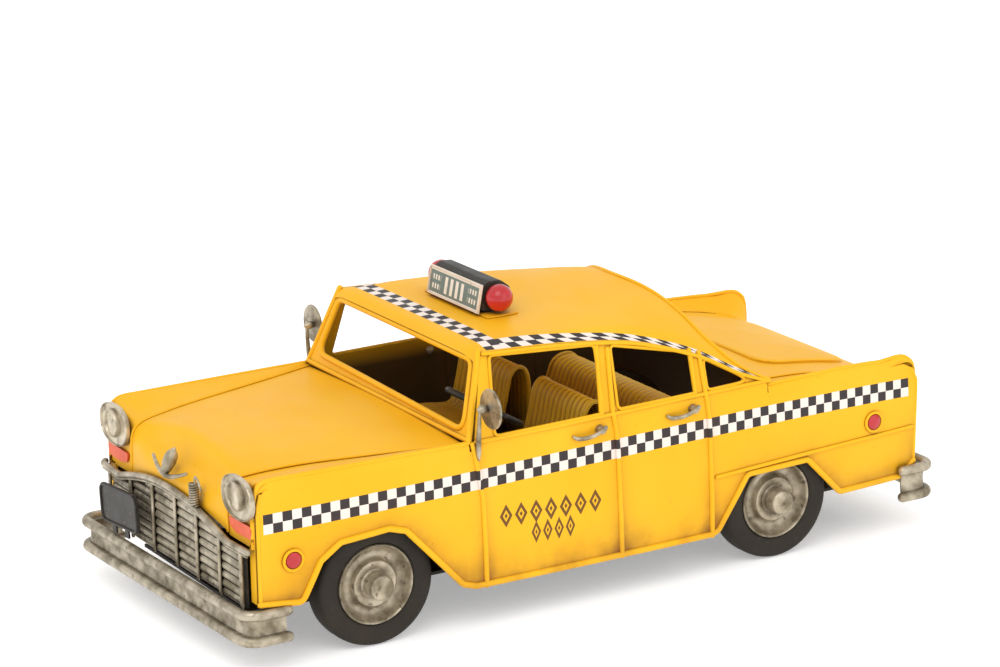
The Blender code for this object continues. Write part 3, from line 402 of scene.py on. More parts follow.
def box(low, high):
    outline = [(low[0], low[1]), (high[0], low[1]), (high[0], high[1]), (low[0], high[1])]
    return prism(outline, "Z", low[2], high[2])


def merged(shapes):
    """One bmesh that holds several."""
    whole = bmesh.new()
    for shape in shapes:
        mesh = bpy.data.meshes.new("merging")
        shape.to_mesh(mesh)
        shape.free()
        whole.from_mesh(mesh)
        bpy.data.meshes.remove(mesh)
    return whole


def circle(radius, count, centre=(0.0, 0.0)):
    """count pairs evenly round a circle."""
    angles = [2.0 * math.pi * k / count for k in range(count)]
    return [(centre[0] + radius * math.cos(a), centre[1] + radius * math.sin(a)) for a in angles]


def turned(profile, sides, closed=False):
    """A profile of (radius, x) pairs turned about the X axis. closed joins its last pair to its first."""
    bm = bmesh.new()
    rings = []
    for radius, x in profile:
        ring = circle(radius, sides) if radius else [(0.0, 0.0)]
        rings.append([bm.verts.new((x, y, z)) for z, y in ring])
    if closed:
        rings.append(rings[0])
    bridge(bm, rings)
    return bm


def changed(bm, matrix):
    bmesh.ops.transform(bm, matrix=matrix, verts=bm.verts)
    return bm


def facing(bm, degrees):
    """The shape turned about the Z axis."""
    return changed(bm, Matrix.Rotation(math.radians(degrees), 4, "Z"))


def tube(path, radius, sides=10, closed=False, flat=1.0):
    """A wire with rounded ends along a path. radius is a number or one number for each point."""
    spots = [Vector(p) for p in path]
    count = len(spots)
    radii = radius if isinstance(radius, (list, tuple)) else [radius] * count
    cap = ((0.95, 0.3), (0.75, 0.7), (0.35, 0.94), (0.0, 1.0))
    rings = []
    across = None
    for i, spot in enumerate(spots):
        before = spots[i - 1] if closed or i else spots[0]
        after = spots[(i + 1) % count] if closed or i < count - 1 else spots[-1]
        tangent = (after - before).normalized()
        across = across or tangent.orthogonal().normalized()
        across = (across - tangent * across.dot(tangent)).normalized()
        up = tangent.cross(across)
        stops = cap[-1:]
        if not closed and i == 0:
            stops = [(-along, share) for along, share in cap]
        elif not closed and i == count - 1:
            stops = cap[::-1]
        for along, share in stops:
            middle = spot + tangent * along * radii[i]
            wide = radii[i] * share
            rings.append([middle + wide * (c * across + flat * s * up) for c, s in circle(1.0, sides)])
    if not closed:
        return lofted(rings)
    bm = bmesh.new()
    made = [[bm.verts.new(p) for p in ring] for ring in rings]
    near, far = made[-1], made[0]
    turn = min(range(sides), key=lambda s: (near[0].co - far[s].co).length)
    bridge(bm, made + [far[turn:] + far[:turn]])
    return bm


def oval(centre, half_wide, half_high, power, count):
    """A superellipse, squarer than an ellipse where power is over 2."""
    points = []
    for k in range(count):
        a = 2.0 * math.pi * (k + 0.5) / count
        c, s = math.cos(a), math.sin(a)
        points.append((centre[0] + half_wide * math.copysign(abs(c) ** (2.0 / power), c),
                       centre[1] + half_high * math.copysign(abs(s) ** (2.0 / power), s)))
    return points


# ---------------------------------------------------------------- materials

class Value:
    """A number in a node material, which takes the usual operators."""

    def __init__(self, graph, socket):
        self.graph = graph
        self.socket = socket

    def __add__(self, other):
        return self.graph.maths("ADD", self, other)

    def __sub__(self, other):
        return self.graph.maths("SUBTRACT", self, other)

    def __mul__(self, other):
        return self.graph.maths("MULTIPLY", self, other)

    def __truediv__(self, other):
        return self.graph.maths("DIVIDE", self, other)

    def __gt__(self, other):
        return self.graph.maths("GREATER_THAN", self, other)

    def __lt__(self, other):
        return self.graph.maths("LESS_THAN", self, other)

    def __abs__(self):
        return self.graph.maths("ABSOLUTE", self)

    def within(self, low, high):
        """1 between two numbers, 0 elsewhere."""
        return (self > low) * (self < high)

    def ramp(self, low, high, bottom=0.0, top=1.0):
        """The value's way from low to high, as a number from bottom to top."""
        made = self.graph.node("ShaderNodeMapRange", clamp=True)
        for socket, number in zip(made.inputs, (self, low, high, bottom, top)):
            self.graph.feed(socket, number)
        return Value(self.graph, made.outputs[0])


class Graph:
    """A node material being written. What goes in may be numbers, colours or the results of other nodes."""

    def __init__(self, name):
        self.material = bpy.data.materials.new(name)
        self.material.use_nodes = True
        self.tree = self.material.node_tree
        self.shader = self.tree.nodes["Principled BSDF"]
        where = self.node("ShaderNodeTexCoord")
        self.place = where.outputs["Object"]
        self.facing = where.outputs["Normal"]

    def node(self, kind, **settings):
        made = self.tree.nodes.new(kind)
        for key, value in settings.items():
            setattr(made, key, value)
        return made

    def feed(self, socket, value):
        if isinstance(value, Value):
            value = value.socket
        if isinstance(value, bpy.types.NodeSocket):
            self.tree.links.new(value, socket)
        elif isinstance(value, tuple) and len(value) == 3 and socket.type == "RGBA":
            socket.default_value = (*value, 1.0)
        else:
            socket.default_value = value

    def maths(self, operation, a, b=0.0, clamp=False):
        made = self.node("ShaderNodeMath", operation=operation, use_clamp=clamp)
        self.feed(made.inputs[0], a)
        self.feed(made.inputs[1], b)
        return Value(self, made.outputs[0])

    def mix(self, share, a, b):
        made = self.node("ShaderNodeMix", data_type="RGBA")
        self.feed(made.inputs[0], share)
        self.feed(made.inputs[6], a)
        self.feed(made.inputs[7], b)
        return made.outputs[2]

    def noise(self, scale, detail=3.0, stretch=None):
        made = self.node("ShaderNodeTexNoise")
        made.inputs["Scale"].default_value = scale
        made.inputs["Detail"].default_value = detail
        place = self.place
        if stretch:
            mapping = self.node("ShaderNodeMapping")
            self.feed(mapping.inputs["Vector"], place)
            mapping.inputs["Scale"].default_value = stretch
            place = mapping.outputs[0]
        self.feed(made.inputs["Vector"], place)
        return Value(self, made.outputs["Fac"])

    def shade_in_corners(self, distance):
        """1 in corners and under edges, where shade falls, 0 in the open; mixed into a colour it paints
        shade.
        """
        made = self.node("ShaderNodeAmbientOcclusion", samples=6)
        made.inputs["Distance"].default_value = distance
        return self.maths("SUBTRACT", 1.0, made.outputs["AO"])

    def parts(self, vector):
        """The three numbers of a vector."""
        made = self.node("ShaderNodeSeparateXYZ")
        self.feed(made.inputs[0], vector)
        return [Value(self, out) for out in made.outputs]

    def axes(self):
        """The place in millimetres above the datum, as three numbers."""
        x, y, z = (part * (1.0 / MM) for part in self.parts(self.place))
        return x, y, z - DATUM_Z

    def painted(self, name, output):
        """What is stored on the mesh under a name."""
        return self.node("ShaderNodeAttribute", attribute_name=name).outputs[output]

    def checks(self, across, down, parity=0.0):
        """1 on the dark squares of a check band, from two numbers counted in squares."""
        cell = self.maths("FLOOR", across) + self.maths("FLOOR", down)
        return self.maths("FLOORED_MODULO", cell + parity, 2.0) < 0.5

    def bump(self, height, strength, distance):
        made = self.node("ShaderNodeBump")
        made.inputs["Strength"].default_value = strength
        made.inputs["Distance"].default_value = distance
        self.feed(made.inputs["Height"], height)
        self.feed(self.shader.inputs["Normal"], made.outputs[0])

    def finish(self, colour, roughness, metallic=0.0, coat=0.0, specular=0.5):
        self.feed(self.shader.inputs["Base Color"], colour)
        self.feed(self.shader.inputs["Roughness"], roughness)
        self.shader.inputs["Metallic"].default_value = metallic
        self.shader.inputs["Specular IOR Level"].default_value = specular
        self.shader.inputs["Coat Weight"].default_value = coat
        self.shader.inputs["Coat Roughness"].default_value = 0.2
        return self.material


YELLOW = (0.88, 0.44, 0.006)
YELLOW_PALE = (0.90, 0.475, 0.014)
# Painted shade for the body's inner faces: shaded olive above the belt, near black below it.
INSIDE_SHADE = (0.62, 0.34, 0.010)
INSIDE_DEEP_SHADE = (0.060, 0.034, 0.010)
PATINA = (0.19, 0.060, 0.012)
# Near black painted shade for the deepest corners of the paint.
CORNER_SHADE_DARK = (0.035, 0.016, 0.008)
CREAM = (0.84, 0.74, 0.66)
CHARCOAL = (0.040, 0.032, 0.032)
INK = (0.075, 0.028, 0.014)
PEWTER_BASE = (0.50, 0.435, 0.325)
PEWTER_DULL = (0.20, 0.165, 0.105)
# Dark wash mixed with painted shade, for the corners of the plating.
PEWTER_WASH_SHADE = (0.028, 0.019, 0.011)
PEWTER_SPOT = (0.06, 0.042, 0.026)


def scaled(factor, colour):
    return tuple(factor * c for c in colour)


def cubic_through(pairs):
    """The factors, in falling powers, of the cubic through four (place, value) pairs."""
    rows = [[place ** 3, place ** 2, place, 1.0, value] for place, value in pairs]
    for i in range(4):
        pivot = max(range(i, 4), key=lambda k: abs(rows[k][i]))
        rows[i], rows[pivot] = rows[pivot], rows[i]
        rows[i] = [n / rows[i][i] for n in rows[i]]
        for k in range(4):
            if k != i:
                share = rows[k][i]
                rows[k] = [n - share * m for n, m in zip(rows[k], rows[i])]
    return [row[4] for row in rows]


def yellow_paint(name, print_kind=None):
    """Satin yellow enamel with brown airbrushed patina low down, brown patina and painted shade in corners,
    painted shade on the inner faces, and the printed bands.
    """
    g = Graph(name)
    x, y, z = g.axes()
    colour = g.mix(g.noise(26.0).ramp(0.35, 0.7), YELLOW, YELLOW_PALE)
    cloud = g.noise(70.0, 4.0)
    fine = g.noise(420.0, 3.0)
    if print_kind == "side":
        # Inner faces take painted shade: shaded olive above the belt, near black below it.
        inner = g.mix(z.ramp(73.0, 64.0), INSIDE_SHADE, INSIDE_DEEP_SHADE)
        outside = x * g.parts(g.facing)[0] > 0.0
        colour = g.mix(outside, inner, side_print(g, colour, y, z))
        shade = Value(g, g.painted("wear", "Fac")) * cloud.ramp(0.3, 0.62, 0.45, 1.0)
        colour = g.mix(g.maths("MULTIPLY", shade, 0.85, clamp=True), colour, PATINA)
    elif print_kind == "roof":
        colour = roof_print(g, colour, x, y)
    colour = g.mix(z.ramp(30.0, 16.0) * cloud.ramp(0.42, 0.66) * 0.35, colour, PATINA)
    # Brown patina laid in the corners where shade falls, partly real patina and partly painted shade; the
    # deepest corners turn near black as painted shade.
    corner = g.shade_in_corners(0.0035)
    colour = g.mix(corner.ramp(0.28, 0.75) * cloud.ramp(0.25, 0.6, 0.35, 1.0), colour, PATINA)
    colour = g.mix(corner.ramp(0.72, 0.96, 0.0, 0.9), colour, CORNER_SHADE_DARK)
    colour = g.mix((fine > 0.73) * 0.25, colour, PATINA)
    g.bump(fine * 0.25 + cloud, 0.16, 0.0006)
    return g.finish(colour, cloud.ramp(0.3, 0.7, 0.4, 0.52), specular=0.22)


def side_print(g, colour, y, z):
    """The check band along the body side and two rows of diamonds on the front door."""
    top = y * 0.0
    for factor in cubic_through(CHECK_TOP):
        top = top * y + factor
    along = (y - CHECK_START) / CHECK_PITCH
    down = (top - z) / CHECK_HEIGHT
    band = along.within(0.0, float(CHECK_COUNT)) * down.within(0.0, 2.0)
    colour = g.mix(band, colour, g.mix(g.checks(along, down), CREAM, CHARCOAL))
    for start, pitch, count, middle, half in DIAMOND_ROWS:
        level = (z - middle) + (y - start) * 0.03
        place = (y - start) / pitch
        offset = (g.maths("FRACT", place) - 0.5) * pitch
        reach = abs(offset) / (0.42 * pitch) + abs(level) / half
        diamond = g.maths("MAXIMUM", reach.within(0.52, 1.0), reach < 0.24)
        colour = g.mix(place.within(0.0, float(count)) * diamond * 0.9, colour, INK)
    return colour


def roof_print(g, colour, x, y):
    """Check bands along both gutters, from the "band" attribute, and across the front of the roof."""
    length, edge, _ = g.parts(g.painted("band", "Vector"))
    inward = (edge - ROOF_BAND_EDGE) / ROOF_CHECK
    side_band = inward.within(0.0, 2.0) * (y > FRONT_BAND_Y + 0.1)
    dark = g.checks(length / ROOF_CHECK_LENGTH, inward)
    colour = g.mix(side_band, colour, g.mix(dark, CREAM, CHARCOAL))
    back = (y - FRONT_BAND_Y) / ROOF_CHECK
    dark = g.checks(x / ROOF_CHECK_LENGTH, back, 1.0)
    return g.mix(back.within(0.0, 2.0) * (inward > 0.0), colour, g.mix(dark, CREAM, CHARCOAL))


def pewter(name, light=1.0, grime_and_shade=1.0):
    """Aged grey plating with dark wash and painted shade in its corners, and dull clouds."""
    g = Graph(name)
    cloud = g.noise(160.0, 5.0)
    fine = g.noise(900.0, 2.0)
    colour = g.mix(cloud.ramp(0.38, 0.66), scaled(light, PEWTER_BASE), scaled(light, PEWTER_DULL))
    # Dark wash in the corners, laid where shade falls, so partly real wash and partly painted shade.
    colour = g.mix(g.shade_in_corners(0.004).ramp(0.25, 0.8) * grime_and_shade * 0.92, colour, PEWTER_WASH_SHADE)
    colour = g.mix(g.noise(330.0, 4.0).ramp(0.6, 0.68) * (0.5 * grime_and_shade), colour, PEWTER_SPOT)
    g.bump(cloud + fine * 0.4, 0.3, 0.0005)
    return g.finish(colour, cloud.ramp(0.3, 0.7, 0.3, 0.5), metallic=0.6)


def steel(name):
    """Bare steel with fine streaks across it, darkened in its corners as painted shade."""
    g = Graph(name)
    streak = g.noise(300.0, 4.0, (0.15, 1.0, 1.0))
    colour = g.mix(streak.ramp(0.35, 0.7), (0.55, 0.53, 0.5), (0.34, 0.32, 0.3))
    # Painted shade: the corners darken where the occlusion mask finds shade.
    colour = g.mix(g.shade_in_corners(0.002).ramp(0.3, 0.9, 0.0, 0.8), colour, (0.05, 0.04, 0.03))
    g.bump(streak, 0.15, 0.0003)
    return g.finish(colour, streak.ramp(0.3, 0.7, 0.28, 0.45), metallic=1.0)


def dark_paint(name, colour, worn, roughness=0.42):
    """Satin dark enamel, rubbed through to brown where it is handled."""
    g = Graph(name)
    cloud = g.noise(120.0, 5.0)
    shade = g.mix(cloud.ramp(0.3, 0.7), colour, scaled(1.7, colour))
    shade = g.mix(g.noise(500.0, 4.0).ramp(0.62, 0.72, 0.0, worn), shade, (0.20, 0.15, 0.10))
    g.bump(cloud, 0.2, 0.0005)
    return g.finish(shade, cloud.ramp(0.3, 0.7, roughness - 0.06, roughness + 0.1), specular=0.3)


def rubber(name):
    """Dull dark rubber with dust in its pores."""
    g = Graph(name)
    cloud = g.noise(60.0, 5.0)
    fine = g.noise(700.0, 3.0)
    colour = g.mix(cloud.ramp(0.35, 0.7), (0.018, 0.014, 0.010), (0.034, 0.028, 0.020))
    colour = g.mix(fine.ramp(0.62, 0.75, 0.0, 0.4), colour, (0.07, 0.058, 0.042))
    g.bump(cloud + fine * 0.5, 0.25, 0.0006)
    return g.finish(colour, cloud.ramp(0.3, 0.7, 0.62, 0.8), specular=0.25)


def enamel(name, colour, deep, roughness, coat):
    """Coloured enamel over a lens or a frame, deeper in colour where it pooled, with painted shade in its
    corners.
    """
    g = Graph(name)
    cloud = g.noise(90.0, 4.0)
    shade = g.mix(cloud.ramp(0.3, 0.7), colour, deep)
    # Painted shade: the corners darken towards a deep tone of the enamel.
    shade = g.mix(g.shade_in_corners(0.003).ramp(0.35, 0.9, 0.0, 0.7), shade, scaled(0.3, deep))
    g.bump(cloud, 0.12, 0.0004)
    return g.finish(shade, cloud.ramp(0.3, 0.7, roughness, roughness + 0.1), coat=coat, specular=0.3)


def seat_wash_and_shade(name):
    """Brown wash over yellow, darker in the grooves between the ribs, with painted shade low down and in its
    corners.
    """
    g = Graph(name)
    x, _, z = g.axes()
    cloud = g.noise(55.0, 5.0)
    wave = g.maths("SINE", x * (2.0 * math.pi / RIB_PITCH))
    colour = g.mix(wave.ramp(-1.0, 0.0), (0.50, 0.27, 0.006), (0.80, 0.470, 0.012))
    colour = g.mix(cloud.ramp(0.35, 0.7, 0.0, 0.5), colour, (0.64, 0.33, 0.008))
    # Painted shade low in the cabin: darker towards the bottom of the seat.
    colour = g.mix(z.ramp(60.0, 44.0) * 0.6, colour, (0.08, 0.045, 0.010))
    # Painted shade in the corners, near black where the occlusion is deepest.
    colour = g.mix(g.shade_in_corners(0.006).ramp(0.45, 0.95, 0.0, 0.85), colour, (0.02, 0.012, 0.006))
    g.bump(wave + cloud, 0.4, 0.0005)
    return g.finish(colour, cloud.ramp(0.3, 0.7, 0.42, 0.58))


def sign_print(name):
    """The sign's panel: a cream border, a row of upright blocks, and two lines of bars on both sides."""
    g = Graph(name)
    x, _, z = g.axes()
    cloud = g.noise(200.0, 3.0)
    colour = g.mix(cloud.ramp(0.3, 0.7), (0.115, 0.15, 0.125), (0.16, 0.20, 0.17))
    level = z - 109.0
    reach = abs(x)
    tall = g.maths("FRACT", (x + 20.0) / 4.0)
    blocks = tall.within(0.2, 0.72) * (reach < 8.0) * level.within(-3.2, 3.2)
    small = g.maths("FRACT", (reach + 0.4) / 1.9)
    lines = abs(abs(level) - 1.7) < 0.95
    bars = small.within(0.25, 0.8) * lines * reach.within(10.4, 17.2)
    border = g.maths("MAXIMUM", reach > 18.2, abs(level) > 4.1)
    printed = g.maths("MAXIMUM", blocks, g.maths("MAXIMUM", bars, border))
    colour = g.mix(printed, colour, (0.80, 0.70, 0.58))
    colour = g.mix(cloud.ramp(0.6, 0.72, 0.0, 0.4), colour, (0.12, 0.08, 0.05))
    g.bump(cloud, 0.1, 0.0003)
    return g.finish(colour, cloud.ramp(0.3, 0.7, 0.4, 0.52))


SIDE_PAINT = yellow_paint("yellow_paint_side", "side")
ROOF_PAINT = yellow_paint("yellow_paint_roof", "roof")
PAINT = yellow_paint("yellow_paint_plain")
PEWTER = pewter("pewter_plating")
# Plating with more dark wash and painted shade in its corners.
PEWTER_WASH_AND_SHADE = pewter("pewter_wash_and_shade", 1.0, 1.25)
PEWTER_PALE = pewter("pewter_pale", 1.3, 0.9)
STEEL = steel("bare_steel_brushed")
BLACK = dark_paint("black_paint_satin", (0.020, 0.017, 0.013), 0.5)
DARK_PAINT_AND_SHADE = dark_paint("dark_base_paint", (0.02, 0.016, 0.012), 0.25, 0.6)
RUBBER = rubber("black_rubber_matt")
RED = enamel("red_lens_gloss", (0.62, 0.018, 0.022), (0.36, 0.006, 0.012), 0.2, 0.6)
AMBER = enamel("amber_lens_satin", (0.83, 0.13, 0.035), (0.66, 0.075, 0.02), 0.38, 0.1)
SEAT = seat_wash_and_shade("seat_brown_wash_and_shade")
SIGN = sign_print("sign_printed_panel")
SIGN_RIM = enamel("sign_frame_cream", (0.80, 0.68, 0.56), (0.62, 0.45, 0.34), 0.4, 0.0)


# ---------------------------------------------------------------- body sides

def distance_to(path, y, z):
    """The shortest distance from a point to a polyline."""
    spot = Vector((y, z))
    best = 1e9
    for a, b in zip(path, path[1:]):
        a, b = Vector(a), Vector(b)
        t = max(0.0, min(1.0, (spot - a).dot(b - a) / (b - a).length_squared))
        best = min(best, (spot - a.lerp(b, t)).length)
    return best


def wear(y, z):
    """How much brown is airbrushed: along the lower edge, beside the door lines, and low at both ends."""
    low = math.exp(-max(0.0, distance_to(LOWER_EDGE, y, z) - 1.5) / 3.4)
    lines = min(distance_to(line, y, z) for line in DOOR_LINES)
    sink = max(0.0, min(1.0, (52.0 - z) / 36.0))
    lines = math.exp(-max(0.0, lines - 1.2) / 2.2) * (0.16 + 0.75 * sink * sink)
    tail = math.exp(-max(0.0, REAR_Y - 2.0 - y) / 5.0) * sink
    arch = math.exp(-abs(y - FRONT_AXLE_Y + 34.0) / 9.0) * sink * 0.5
    return min(1.0, 0.62 * low + lines + 0.8 * tail + arch)


def side_outline():
    """The body side's edge: sill and arches, tail, gutter and nose."""
    stops = (68.0, 62.0, 56.0, 50.0, 44.0, 38.0, 30.0, 22.0, 12.0, 0.0, -12.0, -24.0, -36.0, -47.8)
    roof = [(y, gutter_z(y) - table(EAVE, y) - 0.3) for y in stops]
    return list(LOWER_EDGE) + list(TAIL_EDGE) + roof + list(NOSE_EDGE)


def side_panel(word, side):
    """The curved sheet of one body side, cut to its outline and windows."""
    stations = [-147.0 + 3.0 * k for k in range(99)]
    levels = [13.0 + 3.0 * k for k in range(31)]
    rows = [[(side * side_x(y, z), y, z) for y in stations[::side]] for z in levels]
    reach = sorted((side * 40.0, side * 80.0))
    panel = carved(sheet(rows, SHEET), prism(side_outline(), "X", *reach), "INTERSECT")
    holes = [prism(rounded(window, 2.0), "X", *reach) for window in SIDE_WINDOWS]
    panel = carved(panel, merged(holes), "DIFFERENCE")
    layer = panel.verts.layers.float.new("wear")
    for vert in panel.verts:
        vert[layer] = wear(vert.co.y, vert.co.z)
    emit(f"side_panel_{word}", panel, SIDE_PAINT, replaces=[f"body_side_{word}"], sharp=50.0)


def side_beads(word, side):
    """The rolled edges and half-round beads of one body side."""
    def bead(path, radius, out=0.0, closed=False, soft=3.0):
        return tube(on_side(rounded(path, soft, closed), side, out), radius, 10, closed)

    edge = [(FRONT_Y + 0.4, 25.0)] + [(y, z + 0.5) for y, z in LOWER_EDGE[1:-1]] + [(143.6, 27.0)]
    shapes = [bead(edge, SILL_BEAD)]
    shapes += [bead(line, DOOR_BEAD, -0.1) for line in DOOR_LINES]
    shapes.append(bead(((COWL_Y + 1.5, 70.2), (-20.0, 70.5), (44.0, 71.6), (73.0, 71.9)), 0.8, 0.1))
    shapes.append(bead(((-2.2, 71.6), (0.9, 95.4)), 0.9))
    shapes.append(bead(((40.0, 72.6), (40.6, 88.0)), 0.9))
    shapes += [bead(window, 0.7, 0.0, True, 2.0) for window in SIDE_WINDOWS]
    shapes.append(bead(((48.6, 38.2), (90.0, 39.8), (142.6, 41.2)), 0.8, 0.2))
    shapes.append(bead(((FRONT_Y + 0.6, 25.0), (FRONT_Y + 0.6, 61.0), (-142.4, 65.0)), 0.8, -0.4))
    shapes.append(bead(((143.9, 27.0), (144.8, 60.0), (142.8, 64.4)), 0.8, -0.4))
    gutter = [(y, gutter_z(y) - 0.2 - table(EAVE, y)) for y in range(-47, 75, 4)]
    shapes.append(bead(gutter, 0.75, 0.6))
    emit(f"side_beads_{word}", merged(shapes), SIDE_PAINT)


# ---------------------------------------------------------------- nose

def fender_top(word, side):
    """The fender's ridge beside the bonnet, rolled down into its flat front face."""
    rows = []
    for y in (COWL_Y - 1.2, -68.0, -80.0, -95.0, -115.0, -130.0, -138.0):
        outer = half_width(y)
        inner = valley_x(y) + 0.1
        ridge = max(58.5, inner + 1.6)
        low = smooth_table(VALLEY_LINE, y)
        rows.append([(x, y, z) for x, z in (
            (side_x(y, LAP_Z) + 0.06, LAP_Z), (outer - 0.45, 68.4), (outer - 1.3, 69.9),
            (max(ridge, outer - 3.4), 70.3), (0.5 * (ridge + inner), low + 1.0), (inner, low + 0.1))])
    inner = valley_x(-140.0) + 0.1
    ridge = rows[-1][3][0]
    for y, outer_cut, tops in ((-142.0, 0.9, (66.2, 67.6, 68.8, 69.3, 67.6, 65.0)),
                               (-143.9, 1.2, (64.2, 66.2, 67.0, 67.2, 65.8, 63.2)),
                               (FRONT_Y - 0.2, 1.4, (62.6, 63.4, 63.6, 63.8, 62.6, 60.4)),
                               (FRONT_Y - 0.2, 1.4, (56.0,) * 6), (FRONT_Y - 0.2, 1.4, (45.2,) * 6)):
        outer = half_width(y) - outer_cut
        edges = (outer, outer - 0.4, outer - 1.4, ridge, 0.5 * (ridge + inner), inner)
        rows.append([(x, y, z) for x, z in zip(edges, tops)])
    rows = [[(side * x, y, z) for x, y, z in row][::side] for row in rows]
    skin = sheet(eased_grid(rows, 64, 24), SHEET)
    roll = [(half_width(y) - 1.7, y, 70.0) for y in range(-138, -57, 8)]
    roll = [(61.6, -144.6, 62.6), (61.4, -143.6, 66.6), (61.3, -141.6, 69.0)] + roll
    roll = tube(eased([(side * x, y, z) for x, y, z in roll], 60), TRIM_BEAD, 10)
    edges = (half_width(FRONT_Y) - 1.4, 57.2)[::side]
    foot = sheet([[(side * x, FRONT_Y - 0.2, z) for x in edges] for z in (46.0, 24.6)], SHEET)
    emit(f"fender_top_{word}", merged([skin, roll, foot]), PAINT,
         replaces=[f"front_fender_{word}"], sharp=50.0)


def bonnet_rows():
    """Rows of points from the cowl over the nose to the arch above the grille."""
    shares = [math.sin(math.pi / 2.0 * k / 14.0) for k in range(-14, 15)]
    rows = []
    for y in (COWL_Y - 1.5, -70.0, -85.0, -100.0, -112.0, -122.0, -130.0, NOSE_Y):
        middle = smooth_table(BONNET_LINE, y)
        edge = smooth_table(VALLEY_LINE, y) + 0.3
        rows.append([(s * (valley_x(y) - 0.2), y, edge + (middle - edge) * (1.0 - s * s)) for s in shares])
    half = valley_x(-140.0) - 0.2
    top_edge = smooth_table(VALLEY_LINE, NOSE_Y)
    nose = ((-141.4, -141.0, 0.13, 0.03), (-144.2, -143.3, 0.34, 0.13), (-146.2, -144.5, 0.62, 0.3),
            (-147.1, -144.8, 0.82, 0.62), (-147.4, -144.9, 1.0, 1.0))
    for y_middle, y_edge, drop_middle, drop_edge in nose:
        row = []
        for s in shares:
            inward = 1.0 - s * s
            top = top_edge + (62.8 - top_edge) * inward
            low = arch_z(s * half) + 0.6
            drop = drop_edge + (drop_middle - drop_edge) * inward
            row.append((s * half, y_edge + (y_middle - y_edge) * inward, top + (low - top) * drop))
        rows.append(row)
    return rows


def bonnet():
    """The bonnet's skin, with a raised seam along each valley."""
    rows = eased_grid([row[::-1] for row in bonnet_rows()], 72, 57)
    skin = sheet(rows, SHEET)
    seams = [tube([row[edge] + Vector((0.0, 0.0, 0.25)) for row in rows], 0.62, 8) for edge in (0, -1)]
    emit("bonnet_skin", merged([skin, *seams]), PAINT, replaces=["bonnet"], sharp=60.0)


def grille():
    """A near black backing that stands for the shade behind the grille, with rounded louvres between upright
    rods.
    """
    half = GRILLE_HALF
    outline = [(-half, 22.2), (half, 22.2)] + [(x, arch_z(x) - 1.4) for x in spread(half, -half, 40)]
    # The backing is a near black sheet that paints the shade seen through the grille.
    emit("grille_shade_backing", prism(outline, "Y", -146.0, -145.2), DARK_PAINT_AND_SHADE)
    rods = (0.6 - half, *GRILLE_RODS, half - 0.6)
    shapes = []
    for k in range(9):
        z = 22.9 + 3.3 * k
        for column, (a, b) in enumerate(zip(rods, rods[1:])):
            low = z - 0.4 * (column % 2)
            reach = [x for x in spread(a + 0.8, b - 0.8, 24) if arch_z(x) - 1.6 > low + 2.6]
            if len(reach) > 4:
                louvre = [(-145.8, low - 0.1), (-146.8, low), (-147.2, low + 0.5), (-147.25, low + 1.4),
                          (-147.0, low + 2.2), (-146.6, low + 2.75), (-145.8, low + 2.9)]
                shapes.append(softened(prism(louvre, "X", reach[0], reach[-1]), 0.3, angle=60.0))
    for x in rods:
        shapes.append(tube([(x, -147.7, z) for z in spread(22.9, arch_z(x) - 1.2, 6)], 0.75, 10))
    emit("grille_slats", merged(shapes), PEWTER_WASH_AND_SHADE, replaces=["grille"])


def grille_band():
    """The arched band over the grille, a thick rod with a thin lip under it."""
    arch = [(x, -148.5 + 1.2 * (x / 61.0) ** 2, arch_z(x) + 0.1) for x in spread(-61.6, 60.8, 48)]
    path = [(-63.4, -146.0, 44.9), (-62.9, -146.8, 44.5)] + arch
    lip = [(x, y - 0.3, z - 1.5) for x, y, z in path]
    band = merged([tube(path, 1.3, 12), tube(lip, 0.5, 8)])
    emit("grille_arch", band, PEWTER, replaces=["grille_band"])


def bumper(name, node, y_face, end_y, middle, half, low_z, high_z, skew=0.0):
    """A channel between two rolled edges, wrapped round both corners. skew pushes its right end out."""
    ahead = math.copysign(1.0, y_face)
    path = [(-half, end_y), (-half, 0.5 * (end_y + y_face - ahead * BUMPER_CORNER))]
    for a in spread(0.0, math.pi / 2.0, 12):
        path.append((-half + BUMPER_CORNER * (1.0 - math.cos(a)),
                     y_face - ahead * BUMPER_CORNER * (1.0 - math.sin(a))))
    path += [(-x, y) for x, y in reversed(path)]

    def line(depth, z):
        points = []
        for i, (x, y) in enumerate(path):
            a = Vector(path[max(i - 1, 0)])
            b = Vector(path[min(i + 1, len(path) - 1)])
            along = (b - a).normalized() * ahead * depth
            out = ahead * skew * (half - x) / (2.0 * half)
            points.append((middle + x + along.y, y + out - along.x, z))
        return points

    shapes = [tube(line(BUMPER_EDGE, z), BUMPER_EDGE, 14) for z in (low_z, high_z)]
    levels = ((low_z + 0.4, 2.0), (low_z + 2.0, 3.0), (0.5 * (low_z + high_z), 3.3), (high_z - 2.0, 3.0),
              (high_z - 0.4, 2.0))
    order = -int(ahead)
    shapes.append(sheet([line(depth, z)[::order] for z, depth in levels], 0.7))
    emit(name, merged(shapes), PEWTER, replaces=[node])


